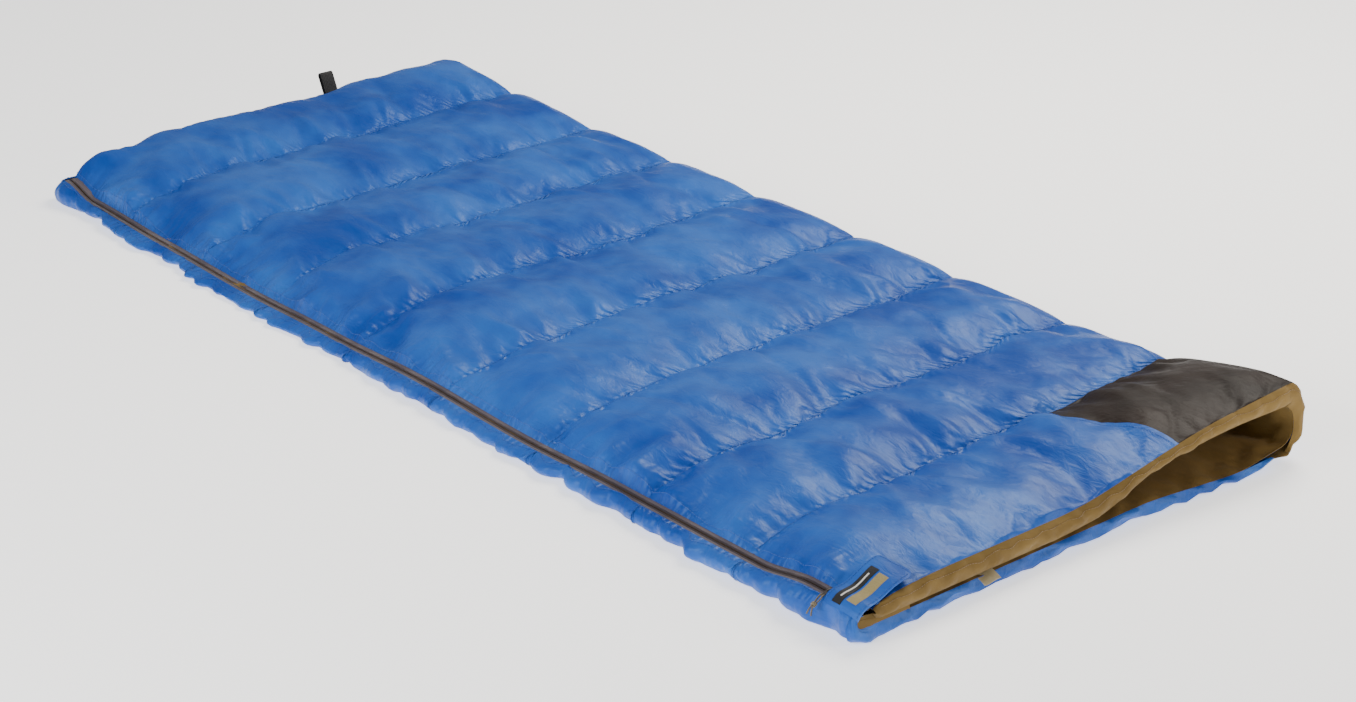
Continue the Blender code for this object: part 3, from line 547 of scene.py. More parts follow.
def outerSkin(step):
    channel, share, seam, crown = channelRows(zipX + edgeOut, mouthEdge, step)
    xUpper = alongMarks(zipX + edgeOut, mouthEdge, channel, share)[:, None]
    xLower = alongMarks(foot, lipStart, channel, share)
    firstSeam = quilt["seams"][0]
    footRun = rollLength + (firstSeam - foot - rollShape[0][0])
    toFoot = np.where(channel == 0, share * footRun, rollLength + xLower - foot - rollShape[0][0])
    footInset, footHeight, footFull = (v[:, None] for v in rollAt(toFoot))
    crown = crown[:, None]
    rollTop = max(p[1] for p in rollShape)

    # columns: even on top, and wider and wider from the zip's roll to the fold underneath
    topCount = round((flatFold - zipY - edgeOut) / step)
    yTop = np.linspace(zipY + edgeOut, flatFold, topCount + 1)[None, :]
    turns = np.linspace(0, math.pi / 2, 8)[1:]
    underWidth = flatFold - zipEdge - rollShape[0][0]
    firstGap, growth, widestGap, rollCount = step * 1.3, 1.12, 0.022, 11
    spacing = [firstGap]
    while sum(spacing) < underWidth:
        spacing.append(min(spacing[-1] * growth, widestGap))
    under = np.cumsum(spacing[:-1])
    under = under * underWidth / (under[-1] + spacing[-1])
    toZip = np.concatenate([rollLength + under[::-1], np.linspace(rollLength, 0, rollCount)])

    # the upper half, with the dark panel's border following a column
    bend = quilt["panelShift"] * smooth((xUpper - quilt["seams"][-1]) / (mouth - quilt["seams"][-1]))
    tent = np.where(yTop < quilt["panelY"], np.clip((yTop + 0.12) / (quilt["panelY"] + 0.12), 0, 1),
                    (flatFold - yTop) / (flatFold - quilt["panelY"]))
    yUpper = yTop + bend * tent
    fromFoot = xUpper - xUpper[0]
    footRise = rise(fromFoot, quilt["footRound"])
    overhang = quilt["footBulge"] * np.sin(math.pi * np.clip(fromFoot / quilt["footBulgeRun"], 0, 1) ** 0.7)
    fromZip = yUpper - zipY - edgeOut
    full = mix(quilt["seamTop"], quilt["crownTop"], crown) + quilt["arch"] * archAt(xUpper) * foldSide(yUpper)
    full = full + swellAt(xUpper, yUpper) * mix(0.4, 1.0, crown) + 0.5 * quilt["tipLift"] * tipAt(xUpper, yUpper)
    hem = smooth((xUpper - (mouth - quilt["hemRun"])) / (quilt["hemRun"] - 0.003))
    full = full - quilt["hemDrop"] * hem * (1 - foldSide(yUpper - 0.02))
    lifted = zipWave(xUpper) * (1 - smooth(fromZip / zipLine["pull"]))
    shoulder = rise(fromZip, mix(quilt["shoulder"], quilt["mouthShoulder"], archAt(xUpper)))
    zUpper = upperEdgeZ + lifted + (full - upperEdgeZ) * footRise * shoulder
    upper = np.stack([xUpper - overhang + 0 * yUpper, yUpper, zUpper], -1)

    # the lower half
    lowInset, lowHeight, lowFull = (v[None, :] for v in rollAt(toZip))
    lift = quilt["seamLift"] * (1 - crown) * (lowHeight == 0) * (footHeight == 0)
    xs = foot + mix(footInset, footFull, lowHeight / rollTop)
    ys = zipEdge + mix(lowInset, lowFull, footHeight / rollTop)
    zs = footHeight + lowHeight - footHeight * lowHeight / rollTop + lift
    zs = zs + zipWave(xs) * lowHeight / rollTop + quilt["tipLift"] * tipAt(xs, ys)
    lower = np.stack([xs, ys, zs], -1)

    # the fold between them
    inset = quilt["foldRun"] * (1 - np.sin(turns))[None, :]
    shareUp = np.cos(turns)[None, :]
    foldLow = inset[:, ::-1][:, 1:]
    shareLow = shareUp[:, ::-1][:, 1:]
    total = 2 * len(turns) - 1
    q = smooth(np.arange(1, total + 1) / (total + 1))[None, :]
    zTurnUp = mix(quilt["foldHeight"], zUpper[:, -1:], shareUp)
    zTurnLow = mix(quilt["foldHeight"], footHeight + quilt["seamLift"] * (1 - crown) * (footHeight == 0)
                   + quilt["tipLift"] * tipAt(xLower[:, None], foldFace), shareLow)
    zTurn = np.concatenate([zTurnUp, zTurnLow], 1)
    yTurn = foldFace - np.concatenate([inset, foldLow], 1) + 0 * zTurn
    xTurn = mix(xUpper, foot + footInset, q) + 0 * zTurn
    turn = np.stack([xTurn, yTurn, zTurn], -1)
    body = np.concatenate([upper, turn, lower], 1)

    # the mouth: facing of the upper half and lip of the lower half, as rows at shares of the way in
    last = body[-1]
    columnsUp, columnsTurn = upper.shape[1], turn.shape[1]
    shares = np.array([0.10, 0.26, 0.44, 0.62, 0.80, 1.0])
    lipInset = np.interp(shares, *zip(*lip["inset"]))
    innerUp = upperInside(mouth, upper[-1, :, 1], 1.0)
    innerUp = mix(upperEdgeZ - lip["drop"], innerUp, rise(upper[-1, :, 1] - zipY - edgeOut, lip["cornerRun"]))
    innerLow = lowerInside(mouth, lower[-1, :, 1], 1.0)
    turnAll = np.concatenate([turns, turns[::-1][1:]])
    inInset = quilt["foldIn"] + quilt["foldTurn"] * (1 - np.sin(turnAll))
    startZ = np.where(np.arange(total) < len(turns), innerUp[-1], innerLow[0])
    innerTurnZ = mix(quilt["foldHeight"], startZ, np.cos(turnAll))
    ends = []
    up, low = slice(0, columnsUp), slice(columnsUp + columnsTurn, None)
    bow = slice(columnsUp, columnsUp + columnsTurn)
    height = lowHeight[0]
    for s, setIn in zip(shares, lipInset):
        puff = lip["puff"] * 4 * s * (1 - s)
        row = last.copy()
        row[up, 2] = mix(last[up, 2], innerUp, s)
        row[up, 0] = mouthEdge + puff
        row[bow, 1] = mix(last[bow, 1], foldFace - inInset, s)
        row[bow, 2] = mix(last[bow, 2], innerTurnZ, s)
        row[bow, 0] = mix(mouthEdge + puff, mouth - setIn, q[0])
        endZ = innerLow * s
        row[low, 0] = mouth - mix(setIn, mix(0.012, 0.004, s), height / rollTop)
        row[low, 1] = zipEdge + mix(lowInset[0], lowFull[0], endZ / rollTop)
        row[low, 2] = height + endZ - height * endZ / rollTop + zipWave(mouth) * height / rollTop
        row[low, 2] += quilt["tipLift"] * tipAt(mouth, row[low, 1]) * (1 - 0.5 * s)
        ends.append(row)
    points = np.concatenate([body, np.stack(ends)], 0)
    points[..., 0] += sway(points[..., 0], points[..., 1]) * (np.arange(len(points)) < len(body))[:, None]
    points[..., 0] += reach(points[..., 0], points[..., 1])
    info = {
        "seam": np.concatenate([seam, np.zeros(len(shares), bool)]),
        "crown": np.concatenate([crown[:, 0], np.ones(len(shares))]),
        "mouthRow": len(body) - 1,
        "panelRow": int(np.flatnonzero(seam)[-1]),
        "panelColumn": int(np.argmin(abs(yTop[0] - quilt["panelY"]))),
        "foldFrom": columnsUp + len(turns) - 3,
        "foldTo": columnsUp + len(turns) + 1,
        "foldMiddle": columnsUp + len(turns) - 1,
        "topColumns": columnsUp,
        "lowFrom": columnsUp + columnsTurn,
    }
    return points, info


outerStart, outer = outerSkin(quilt["step"])
say(f"outer skin grid {outerStart.shape[:2]}")

# Lining: one sheet from the lower tape, round the inside of the fold, to the upper tape

def liningSkin(step):
    channel, share, seam, crown = channelRows(liningFrom, liningTo, step)
    x = alongMarks(liningFrom, liningTo, channel, share)[:, None]
    crown = crown[:, None]
    tapeLow, tapeHigh = lowerEdgeZ - 0.0040, upperEdgeZ - 0.0022
    edgeRun = 0.045
    yLow = np.linspace(zipEdge + 0.014, foldFace - quilt["liningFlat"], round(0.69 / step) + 1)[None, :]
    turns = np.linspace(0, math.pi / 2, 6)[1:]
    inset = quilt["foldIn"] + quilt["foldTurn"] * (1 - np.sin(turns))[None, :]
    footShare = 1 - smooth((x - x[0]) / edgeRun)
    nearShare = 1 - smooth((yLow - yLow[0, 0]) / edgeRun)
    zLow = lowerInside(x, yLow, crown)
    zLow = mix(zLow, tapeLow, np.maximum(footShare, nearShare))
    yUp = np.linspace(foldFace - quilt["liningFlat"], zipY + edgeOut + 0.003, round(0.67 / step) + 1)[None, :]
    zUp = upperInside(x, yUp, crown)
    zUp = mix(tapeHigh, zUp, rise(x - x[0]) * rise(yUp - yUp[0, -1], mix(0.055, lip["cornerRun"], archAt(x))))
    sunk = np.maximum(nearShare, 0.45 * (1 - smooth((yLow - yLow[0, 0]) / 0.16)))
    zLow = np.maximum(zLow + zipWave(x) * sunk, 0.0045) + quilt["tipLift"] * tipAt(x, yLow)
    fromTape = yUp - yUp[0, -1]
    zUp = zUp + zipWave(x) * (1 - smooth(fromTape / 0.15))
    zUp = zUp - 0.0110 * smooth(fromTape / 0.012) * (1 - smooth((fromTape - 0.07) / 0.07)) * (1 - archAt(x))
    zTurnLow = mix(quilt["foldHeight"], zLow[:, -1:], np.cos(turns)[None, :])
    zTurnUp = mix(quilt["foldHeight"], zUp[:, :1], np.cos(turns)[::-1][None, 1:])
    y = np.concatenate([yLow + 0 * x, foldFace - inset + 0 * x, foldFace - inset[:, ::-1][:, 1:] + 0 * x,
                        yUp + 0 * x], 1)
    z = np.concatenate([zLow, zTurnLow, zTurnUp, zUp], 1)
    points = np.stack([x + 0 * y, y, z], -1)
    between = (np.arange(len(points)) > 0) & (np.arange(len(points)) < len(points) - 1)
    points[..., 0] += sway(points[..., 0], points[..., 1]) * between[:, None]
    points[..., 0] += reach(points[..., 0], points[..., 1])
    lowColumns = yLow.shape[1]
    return points, {"seam": seam, "foldFrom": lowColumns + 2, "foldTo": lowColumns + 6}


liningStart, lining = liningSkin(quilt["liningStep"])
say(f"lining grid {liningStart.shape[:2]}")

# Cloth simulation of both skins

puckering = {
    "frames": 14,
    "outerPressure": 1.0,
    "liningPressure": 0.5,
    "surplus": 0.011,        # spare cloth everywhere
    "edgeSurplus": 0.065,    # spare cloth where it is gathered: along the zip and beside the seams
    "outerCap": 0.010,       # furthest that a point of the skin moves
    "liningCap": 0.006,
}
clothNature = {           # stiffness and damping of a light woven cloth
    "quality": 4, "mass": 0.15, "tension_stiffness": 15, "compression_stiffness": 15, "shear_stiffness": 7.5,
    "bending_stiffness": 0.08, "tension_damping": 5, "compression_damping": 5, "shear_damping": 5,
    "bending_damping": 0.5, "air_damping": 3,
}


def nearEdges(points, info, firstBand, lastBand):
    # 1 where the cloth is gathered, 0 in the middle of a channel
    seamRows = np.flatnonzero(info["seam"])
    rowsAway = np.min(abs(np.arange(len(points))[:, None] - seamRows[None, :]), axis=1)
    beside = np.exp(-(rowsAway / 4.0) ** 2)[:, None]
    across = travelled(points, 1)
    start = np.exp(-(across / firstBand) ** 2)
    end = np.exp(-((across[:, -1:] - across) / lastBand) ** 2)
    return np.clip(np.maximum(np.maximum(start, end), 0.55 * beside), 0, 1)


def clothSheet(name, points, pinned, gathered, pressure):
    rows, columns = points.shape[:2]
    index = np.arange(rows * columns).reshape(rows, columns)
    mesh = bpy.data.meshes.new(name)
    mesh.from_pydata(points.reshape(-1, 3).tolist(), [], gridQuads(index).tolist())
    sheet = linked(name, mesh)
    pins = sheet.vertex_groups.new(name="pins")
    pins.add([int(v) for v in index[pinned]], 1.0, "REPLACE")
    gathers = sheet.vertex_groups.new(name="gathers")
    levels = np.round(gathered * 10).astype(int)
    for level in range(1, 11):
        gathers.add([int(v) for v in index[levels == level]], level / 10, "REPLACE")
    cloth = sheet.modifiers.new("cloth", "CLOTH")
    settings = cloth.settings
    for key, value in clothNature.items():
        setattr(settings, key, value)
    settings.vertex_group_mass = "pins"
    settings.vertex_group_shrink = "gathers"
    settings.shrink_min = -puckering["surplus"]
    settings.shrink_max = -puckering["edgeSurplus"]
    settings.use_pressure = True
    settings.uniform_pressure_force = pressure
    settings.effector_weights.gravity = 0
    cloth.collision_settings.use_collision = False
    return sheet


def capped(start, end, cap):
    move = end - start
    size = np.linalg.norm(move, axis=-1, keepdims=True)
    return start + move * (cap * np.tanh(size / cap) / np.maximum(size, 1e-9))


def settle(jobs):
    sheets = [clothSheet(f"settling{k}", start, pinned, gathered, pressure)
              for k, (start, pinned, gathered, pressure, cap) in enumerate(jobs)]
    for number in range(1, puckering["frames"] + 1):
        scene.frame_set(number)
    depsgraph = bpy.context.evaluated_depsgraph_get()
    results = []
    for sheet, (start, pinned, gathered, pressure, cap) in zip(sheets, jobs):
        final = bpy.data.meshes.new_from_object(sheet.evaluated_get(depsgraph))
        places = np.empty(len(final.vertices) * 3)
        final.vertices.foreach_get("co", places)
        results.append(capped(start, places.reshape(start.shape), cap))
        bpy.data.meshes.remove(final)
        bpy.data.objects.remove(sheet, do_unlink=True)
    scene.frame_set(1)
    return results


folds = {   # creases that run out from a stitched line and die away
    "spacing": (0.014, 0.036),
    "width": (0.0055, 0.0130),
    "length": (0.035, 0.125),
    "height": (0.0018, 0.0062),
}


reliefs = {      # heights of the random relief given to the cloth before it settles
    "body": 0.0030, "bodyFine": 0.0002, "seam": 0.0012, "seamFine": 0.0007, "skirtFine": 0.0004,
    "hemOut": 0.0016, "hemUp": 0.0014, "lining": 0.0006,
}


def creases(away, along, low, high, scale=1.0):
    # relief of the creases beside one line: away is the distance from it, along the place on it
    relief = np.zeros_like(away)
    place = low
    while place < high:
        width = rng.uniform(*folds["width"])
        length = rng.uniform(*folds["length"]) * scale
        height = rng.uniform(*folds["height"]) * rng.choice([1.0, -0.8])
        skew = rng.uniform(-0.45, 0.45)
        offset = (along - place - skew * away) / (width * (1 + 0.8 * away / length))
        relief += height * np.exp(-offset ** 2) * (1 - np.exp(-away / 0.007)) * np.exp(-(away / length) ** 2)
        place += rng.uniform(*folds["spacing"]) * scale ** 0.5
    return relief


def seamCreases(points):
    relief = np.zeros(points.shape[:2])
    for mark in quilt["seams"]:
        away = points[..., 0] - mark
        for side in (1, -1):
            near = side * away > 0
            relief += np.where(near, creases(np.where(near, side * away, 1.0), points[..., 1], -0.36, 0.36), 0)
    return relief


def heldAt(points, seam, rows):
    # the points that a seam, an edge or one of the rows holds
    held = np.zeros(points.shape[:2], bool)
    held[seam] = held[rows] = held[:, [0, -1]] = True
    return held


rowIndex = np.arange(len(outerStart))
outerPins = heldAt(outerStart, outer["seam"], [0, outer["mouthRow"], -1])
relief = ripple(outerStart[..., 0], outerStart[..., 1], 0.26, 0.07, 12)
fine = ripple(outerStart[..., 0], outerStart[..., 1], 0.030, 0.012, 16)
body = (np.arange(outerStart.shape[1]) < outer["topColumns"])[None, :] & (rowIndex <= outer["mouthRow"])[:, None]
free = ~outerPins
lengthwise = np.clip(outerStart[..., 1] - zipY - edgeOut, 0, None)
bodyRelief = reliefs["body"] * relief + reliefs["bodyFine"] * fine + seamCreases(outerStart)
bodyRelief += 1.2 * creases(lengthwise, outerStart[..., 0], foot + 0.03, mouth - 0.02, 0.6)
seamRelief = reliefs["seam"] * relief + reliefs["seamFine"] * fine
outerStart[..., 2] += np.where(body & free, bodyRelief, 0)
outerStart[..., 2] += np.where(body & outer["seam"][:, None], seamRelief, 0)
skirt = ~body & free & (outerStart[..., 1] < zipEdge + 0.05) & (outerStart[..., 0] > foot + 0.03)
hanging = creases(np.clip(zipLine["height"] - outerStart[..., 2], 0, None), outerStart[..., 0], foot, mouth, 0.55)
outerStart[..., 1] -= np.where(skirt, 1.5 * hanging + reliefs["skirtFine"] * fine, 0)
hem = (rowIndex > outer["mouthRow"])[:, None] & free
hemOut = ripple(outerStart[..., 1], outerStart[..., 2], 0.060, 0.016, 12)
outerStart[..., 0] += np.where(hem, reliefs["hemOut"] * hemOut, 0)
hemUp = ripple(outerStart[..., 1], 0 * outerStart[..., 2], 0.110, 0.030, 8)
outerStart[..., 2] += np.where(hem, reliefs["hemUp"] * hemUp, 0)
outerGather = nearEdges(outerStart, outer, 0.035, 0.060)

liningPins = heldAt(liningStart, lining["seam"], [0, -1])
liningFine = ripple(liningStart[..., 0], liningStart[..., 1], 0.06, 0.02, 12)
liningStart[..., 2] += np.where(~liningPins, reliefs["lining"] * liningFine, 0)
liningGather = nearEdges(liningStart, lining, 0.03, 0.03)

outerPoints, liningPoints = settle([
    (outerStart, outerPins, outerGather, puckering["outerPressure"], puckering["outerCap"]),
    (liningStart, liningPins, liningGather, puckering["liningPressure"], puckering["liningCap"]),
])
outerPoints[..., 2] = np.maximum(outerPoints[..., 2], 0.0004)
outerNormals = gridNormals(outerPoints)
liningNormals = gridNormals(liningPoints)
say("cloth has settled")

# Cutting the skins into their panels

cellRows = np.arange(outerPoints.shape[0] - 1)[:, None]
cellColumns = np.arange(outerPoints.shape[1] - 1)[None, :]
isMouth = cellRows >= outer["mouthRow"]
isFold = (cellColumns >= outer["foldFrom"]) & (cellColumns < outer["foldTo"])
isUpper = cellColumns < outer["foldFrom"]
isPanel = (cellRows >= outer["panelRow"]) & (cellColumns >= outer["panelColumn"]) & isUpper & ~isMouth


seamPlaces = outerStart[outer["seam"]][:, :, 0]
gatherBand = {"seam": 0.011, "zip": 0.028}      # how fast the gathers die away from a stitched line
toSeam = np.min(abs(outerStart[None, :, :, 0] - seamPlaces[:, None, :]), axis=0)
besideSeam = np.exp(-toSeam / gatherBand["seam"])
skinAcross = travelled(outerStart, 1)
besideZip = np.exp(-np.minimum(skinAcross, skinAcross[:, -1:] - skinAcross) / gatherBand["zip"])
gatheredAt = np.stack([besideSeam, besideZip, 0 * besideZip], -1)


def outerPiece(name, keep, material):
    return fabricPiece(name, outerPoints, outerNormals, keep, quilt["cloth"], material, gatheredAt)


upperShell = outerPiece("upperShellCloth", isUpper & ~isPanel & ~isMouth, shellCloth)
give(upperShell, "upper_quilt", "shell_polyester", "upper_shell")
accentPanel = outerPiece("accentPanelCloth", isPanel, panelCloth)
give(accentPanel, "upper_quilt", "panel_polyester", "accent_panel")
mouthFacing = outerPiece("mouthFacingCloth", isUpper & isMouth, liningCloth)
give(mouthFacing, "upper_quilt", "lining_polyester", "upper_mouth_facing")
lipFacing = isMouth & ~isUpper & ~isFold & (cellColumns < outer["foldTo"] + 5)
lowerShell = outerPiece("lowerShellCloth", ~isUpper & ~isFold & ~lipFacing, shellCloth)
lowerFacing = outerPiece("lowerFacingCloth", lipFacing, liningCloth)
give(lowerFacing, "lower_quilt", "lining_polyester")
give(lowerShell, "lower_quilt", "shell_polyester", "lower_shell")
panelFold = isFold & (cellRows >= outer["panelRow"]) & ~isMouth & (cellColumns < outer["foldMiddle"])
facingFold = isFold & isMouth
for name, keep, material, slotName in (
        ("shellFoldCloth", isFold & ~panelFold & ~facingFold, shellCloth, "shell_polyester"),
        ("panelFoldCloth", panelFold, panelCloth, "panel_polyester"),
        ("facingFoldCloth", facingFold, liningCloth, "lining_polyester")):
    strip = outerPiece(name, keep, material)
    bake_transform(strip)

liningColumns = np.arange(liningPoints.shape[1] - 1)[None, :]
lowLining, highLining = liningColumns < lining["foldFrom"], liningColumns >= lining["foldTo"]
for name, keep, bodyName, node in (
        ("lowerLiningCloth", lowLining, "lower_quilt", "lower_lining"),
        ("upperLiningCloth", highLining, "upper_quilt", "upper_lining"),
        ("liningFoldCloth", ~lowLining & ~highLining, None, None)):
    cut = fabricPiece(name, liningPoints, liningNormals, keep, quilt["cloth"], liningCloth)
    if bodyName:
        give(cut, bodyName, "lining_polyester", node)
    else:
        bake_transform(cut)
say("skins are cut into panels")

# Batting between each shell and its lining, seen only at an open edge

batting = {
    "clear": 0.0120,                              # left free under the cloth, above and below
    "thinnest": 0.0006,
    "shares": (0, 0.12, 0.3, 0.5, 0.7, 0.88),     # its rows, as shares of a channel
}


def battPiece(name, upperHalf):
    # between the settled shell and its lining, thin at the seams and thick in the channels
    columns = slice(16, outer["topColumns"] - 3, 4) if upperHalf else slice(outer["lowFrom"] + 1, -22)
    marks = np.concatenate([[6], np.flatnonzero(outer["seam"]), [outer["mouthRow"] - 3]])
    rows = sorted({int(round(mix(a, b, share))) for a, b in zip(marks, marks[1:]) for share in batting["shares"]})
    shell = outerPoints[rows, columns] if upperHalf else outerPoints[rows, columns][:, ::-1]
    crown = outer["crown"][rows][:, None]
    x, y = shell[..., 0], shell[..., 1]
    if upperHalf:
        inner = np.minimum(upperInside(x, y, crown), shell[..., 2] - batting["clear"])
    else:
        inner = lowerInside(x, y, crown)
    middle = (shell[..., 2] + inner) / 2
    halfThick = abs(shell[..., 2] - inner) / 2 - batting["clear"] * mix(0.6, 1.0, crown)
    halfThick = np.maximum(halfThick, batting["thinnest"] / 2)
    top, bottom = shell.copy(), shell.copy()
    top[..., 2] = middle + halfThick
    bottom[..., 2] = middle - halfThick
    count = shell.shape[0] * shell.shape[1]
    index = np.arange(count).reshape(shell.shape[:2])
    quads = gridQuads(index)
    ring = np.concatenate([index[:, 0], index[-1, 1:], index[-2::-1, -1], index[0, -2:0:-1]])
    around = np.stack([np.roll(ring, -1), ring, ring + count, np.roll(ring, -1) + count], 1)
    faces = np.concatenate([quads, quads[:, ::-1] + count, around])
    return meshPiece(name, np.concatenate([top.reshape(-1, 3), bottom.reshape(-1, 3)]), faces, battFibre)


for name, upperHalf, bodyName, node in (("upperBatt", True, "upper_quilt", "upper_filling"),
                                        ("lowerBatt", False, "lower_quilt", "lower_filling")):
    batt = battPiece(name, upperHalf)
    give(batt, bodyName, "hollow_fibre", node)

# Zip: tapes, coils, slider and pull

def zipRoute(u, w, fromX, toY, spacing=0.012):
    # points u inward from the middle line and w above the tapes, with their inward and upward directions
    count = round((fromX - zipX) / spacing)
    xs = np.linspace(fromX, zipX, count + 1)[:-1]
    ys = np.linspace(zipY, toY, round((toY - zipY) / 0.05) + 1)[1:]
    middles = [(x, zipY) for x in xs] + [(zipX, zipY)] + [(zipX, y) for y in ys]
    inward = [(0, 1)] * len(xs) + [(1, 1)] + [(1, 0)] * len(ys)
    centres, sides, ups = [], [], []
    for (x, y), (ix, iy) in zip(middles, inward):
        flat = u * cosTilt - w * sinTilt
        height = zipLine["height"] + float(zipWave(np.array(x))) + u * sinTilt + w * cosTilt
        centres.append((x + ix * flat, y + iy * flat, height))
        sides.append((ix * cosTilt, iy * cosTilt, sinTilt))
        ups.append((-ix * sinTilt, -iy * sinTilt, cosTilt))
    return np.array(centres), np.array(sides), np.array(ups)


def repeatTree():
    # Geometry Nodes: a small piece set at even steps along every path, standing on the path's "up" attribute
    tree = bpy.data.node_groups.new("repeatAlongPath", "GeometryNodeTree")
    for socket, kind in (("Geometry", "Geometry"), ("Piece", "Object"), ("Spacing", "Float"),
                         ("Wobble", "Float"), ("Seed", "Int"), ("Finish", "Material")):
        tree.interface.new_socket(socket, in_out="INPUT", socket_type="NodeSocket" + kind)
    tree.interface.new_socket("Geometry", in_out="OUTPUT", socket_type="NodeSocketGeometry")
    start = addNode(tree, "NodeGroupInput")
    curve = addNode(tree, "GeometryNodeMeshToCurve", None, {"Mesh": start.outputs["Geometry"]})
    even = addNode(tree, "GeometryNodeResampleCurve", None,
                   {"Curve": curve.outputs["Curve"], "Length": start.outputs["Spacing"]}, mode="LENGTH")
    tangent = addNode(tree, "GeometryNodeInputTangent")
    up = addNode(tree, "GeometryNodeInputNamedAttribute", {"Name": "up"}, data_type="FLOAT_VECTOR")
    along = addNode(tree, "FunctionNodeAlignRotationToVector", None, {"Vector": tangent.outputs["Tangent"]},
                    axis="X")
    stand = addNode(tree, "FunctionNodeAlignRotationToVector", None,
                    {"Rotation": along.outputs["Rotation"], "Vector": up.outputs["Attribute"]},
                    axis="Z", pivot_axis="X")
    spread = addNode(tree, "FunctionNodeRandomValue", None, {"Seed": start.outputs["Seed"]}, data_type="FLOAT")
    centred = addNode(tree, "ShaderNodeMath", {1: 0.5}, {0: spread.outputs[1]}, operation="SUBTRACT")
    turned = addNode(tree, "ShaderNodeMath", None, {0: centred.outputs["Value"], 1: start.outputs["Wobble"]},
                     operation="MULTIPLY")
    yaw = addNode(tree, "ShaderNodeCombineXYZ", None, {"Z": turned.outputs["Value"]})
    loose = addNode(tree, "FunctionNodeRotateRotation", None,
                    {"Rotation": stand.outputs["Rotation"], "Rotate By": yaw.outputs["Vector"]},
                    rotation_space="LOCAL")
    part = addNode(tree, "GeometryNodeObjectInfo", None, {"Object": start.outputs["Piece"]})
    placed = addNode(tree, "GeometryNodeInstanceOnPoints", None,
                     {"Points": even.outputs["Curve"], "Instance": part.outputs["Geometry"],
                      "Rotation": loose.outputs["Rotation"]})
    real = addNode(tree, "GeometryNodeRealizeInstances", None, {"Geometry": placed.outputs["Instances"]})
    dressed = addNode(tree, "GeometryNodeSetMaterial", None,
                      {"Geometry": real.outputs["Geometry"], "Material": start.outputs["Finish"]})
    addNode(tree, "NodeGroupOutput", None, {"Geometry": dressed.outputs["Geometry"]})
    return tree


repeatNodes = repeatTree()


def repeated(name, paths, ups, small, spacing, wobble, seed, material):
    # the small piece along every path; paths and ups are lists of arrays, and the result is a plain mesh
    mesh = bpy.data.meshes.new(name)
    vertices, edges = [], []
    for path in paths:
        first = len(vertices)
        vertices += [tuple(p) for p in path]
        edges += [(first + k, first + k + 1) for k in range(len(path) - 1)]
    mesh.from_pydata(vertices, edges, [])
    attribute = mesh.attributes.new("up", "FLOAT_VECTOR", "POINT")
    attribute.data.foreach_set("vector", np.concatenate(ups).astype(np.float32).ravel())
    guide = linked(name + "Guide", mesh)
    modifier = guide.modifiers.new("repeat", "NODES")
    modifier.node_group = repeatNodes
    sockets = {s.name: s.identifier for s in repeatNodes.interface.items_tree if s.in_out == "INPUT"}
    for socket, value in (("Piece", small), ("Spacing", spacing), ("Wobble", wobble), ("Seed", seed),
                          ("Finish", material)):
        modifier[sockets[socket]] = value
    guide.update_tag()
    depsgraph = bpy.context.evaluated_depsgraph_get()
    final = bpy.data.meshes.new_from_object(guide.evaluated_get(depsgraph))
    final.name = name
    piece = linked(name, final)
    bpy.data.objects.remove(guide, do_unlink=True)
    final.shade_smooth()
    return piece


def roundBar(name, path, radius, sides):
    # a small closed tube through a few points, for a coil tooth or a stitch
    path = np.asarray(path, float)
    tangents = unit(np.gradient(path, axis=0))
    reference = np.array([1.0, 0, 0]) if abs(tangents[:, 0]).max() < 0.8 else np.array([0, 1.0, 0])
    sidesOut = unit(np.cross(tangents, reference))
    upsOut = unit(np.cross(sidesOut, tangents))
    return sweptPiece(name, path, sidesOut, upsOut, ringOf(radius, sides), coilNylon)


zipParts = {
    "tapeFrom": 0.0028, "tapeTo": 0.0105, "tapeThick": 0.0007,
    "tapeEnd": mouth - 0.007,
    "coilEnd": 0.8446,            # the coil stops just past the closed slider
    "coilPitch": 0.00127,         # the usual spacing of a No. 5 coil
    "filament": 0.00042,
    "coilFootEnd": 0.318,         # end of the coil's run across the foot
    "coilOut": 0.0021,            # each coil's middle from the zip's
    "bevel": 0.0012,
}
half, bevel = zipParts["tapeThick"] / 2, zipParts["bevel"]
for name, sign, bodyName, node in (("upperZipTape", 1, "upper_quilt", "upper_zip_tape"),
                                   ("lowerZipTape", -1, "lower_quilt", "lower_zip_tape")):
    centres, sides, ups = zipRoute(0, 0, zipParts["tapeEnd"], zipLine["foldEnd"])
    a, b = zipParts["tapeFrom"], zipParts["tapeTo"]
    outline = [(sign * a, -half), (sign * b, -half), (sign * b, half), (sign * (b - bevel), half * 1.9),
               (sign * (a + bevel), half * 1.9), (sign * a, half)]
    tape = sweptPiece(name, centres, sides, ups, outline, tapeCloth)
    give(tape, bodyName, "zip_tape", node)

tooth = roundBar("coilTooth", [(-0.0003, 0.0012, -0.0006), (-0.0002, -0.0008, -0.0007), (0, -0.00155, 0),
                               (0.0002, -0.0008, 0.0007), (0.0003, 0.0012, 0.0006)], zipParts["filament"], 4)
for name, sign, bodyName, node in (("upperZipCoil", 1, "upper_quilt", "upper_zip_coil"),
                                   ("lowerZipCoil", -1, "lower_quilt", "lower_zip_coil")):
    centres, sides, ups = zipRoute(sign * zipParts["coilOut"], 0.0, zipParts["coilEnd"], zipParts["coilFootEnd"])
    if sign < 0:
        centres, ups = centres[::-1], ups[::-1]
    coil = repeated(name, [centres], [ups], tooth, zipParts["coilPitch"], 0.0, 1, coilNylon)
    give(coil, bodyName, "zip_coil", node)
bpy.data.objects.remove(tooth, do_unlink=True)
for node in ("zip_slider", "zip_puller", "upper_top_stop", "lower_top_stop", "pin_box", "insertion_pin"):
    frame["nodes"][node].data.materials[0] = zipZinc
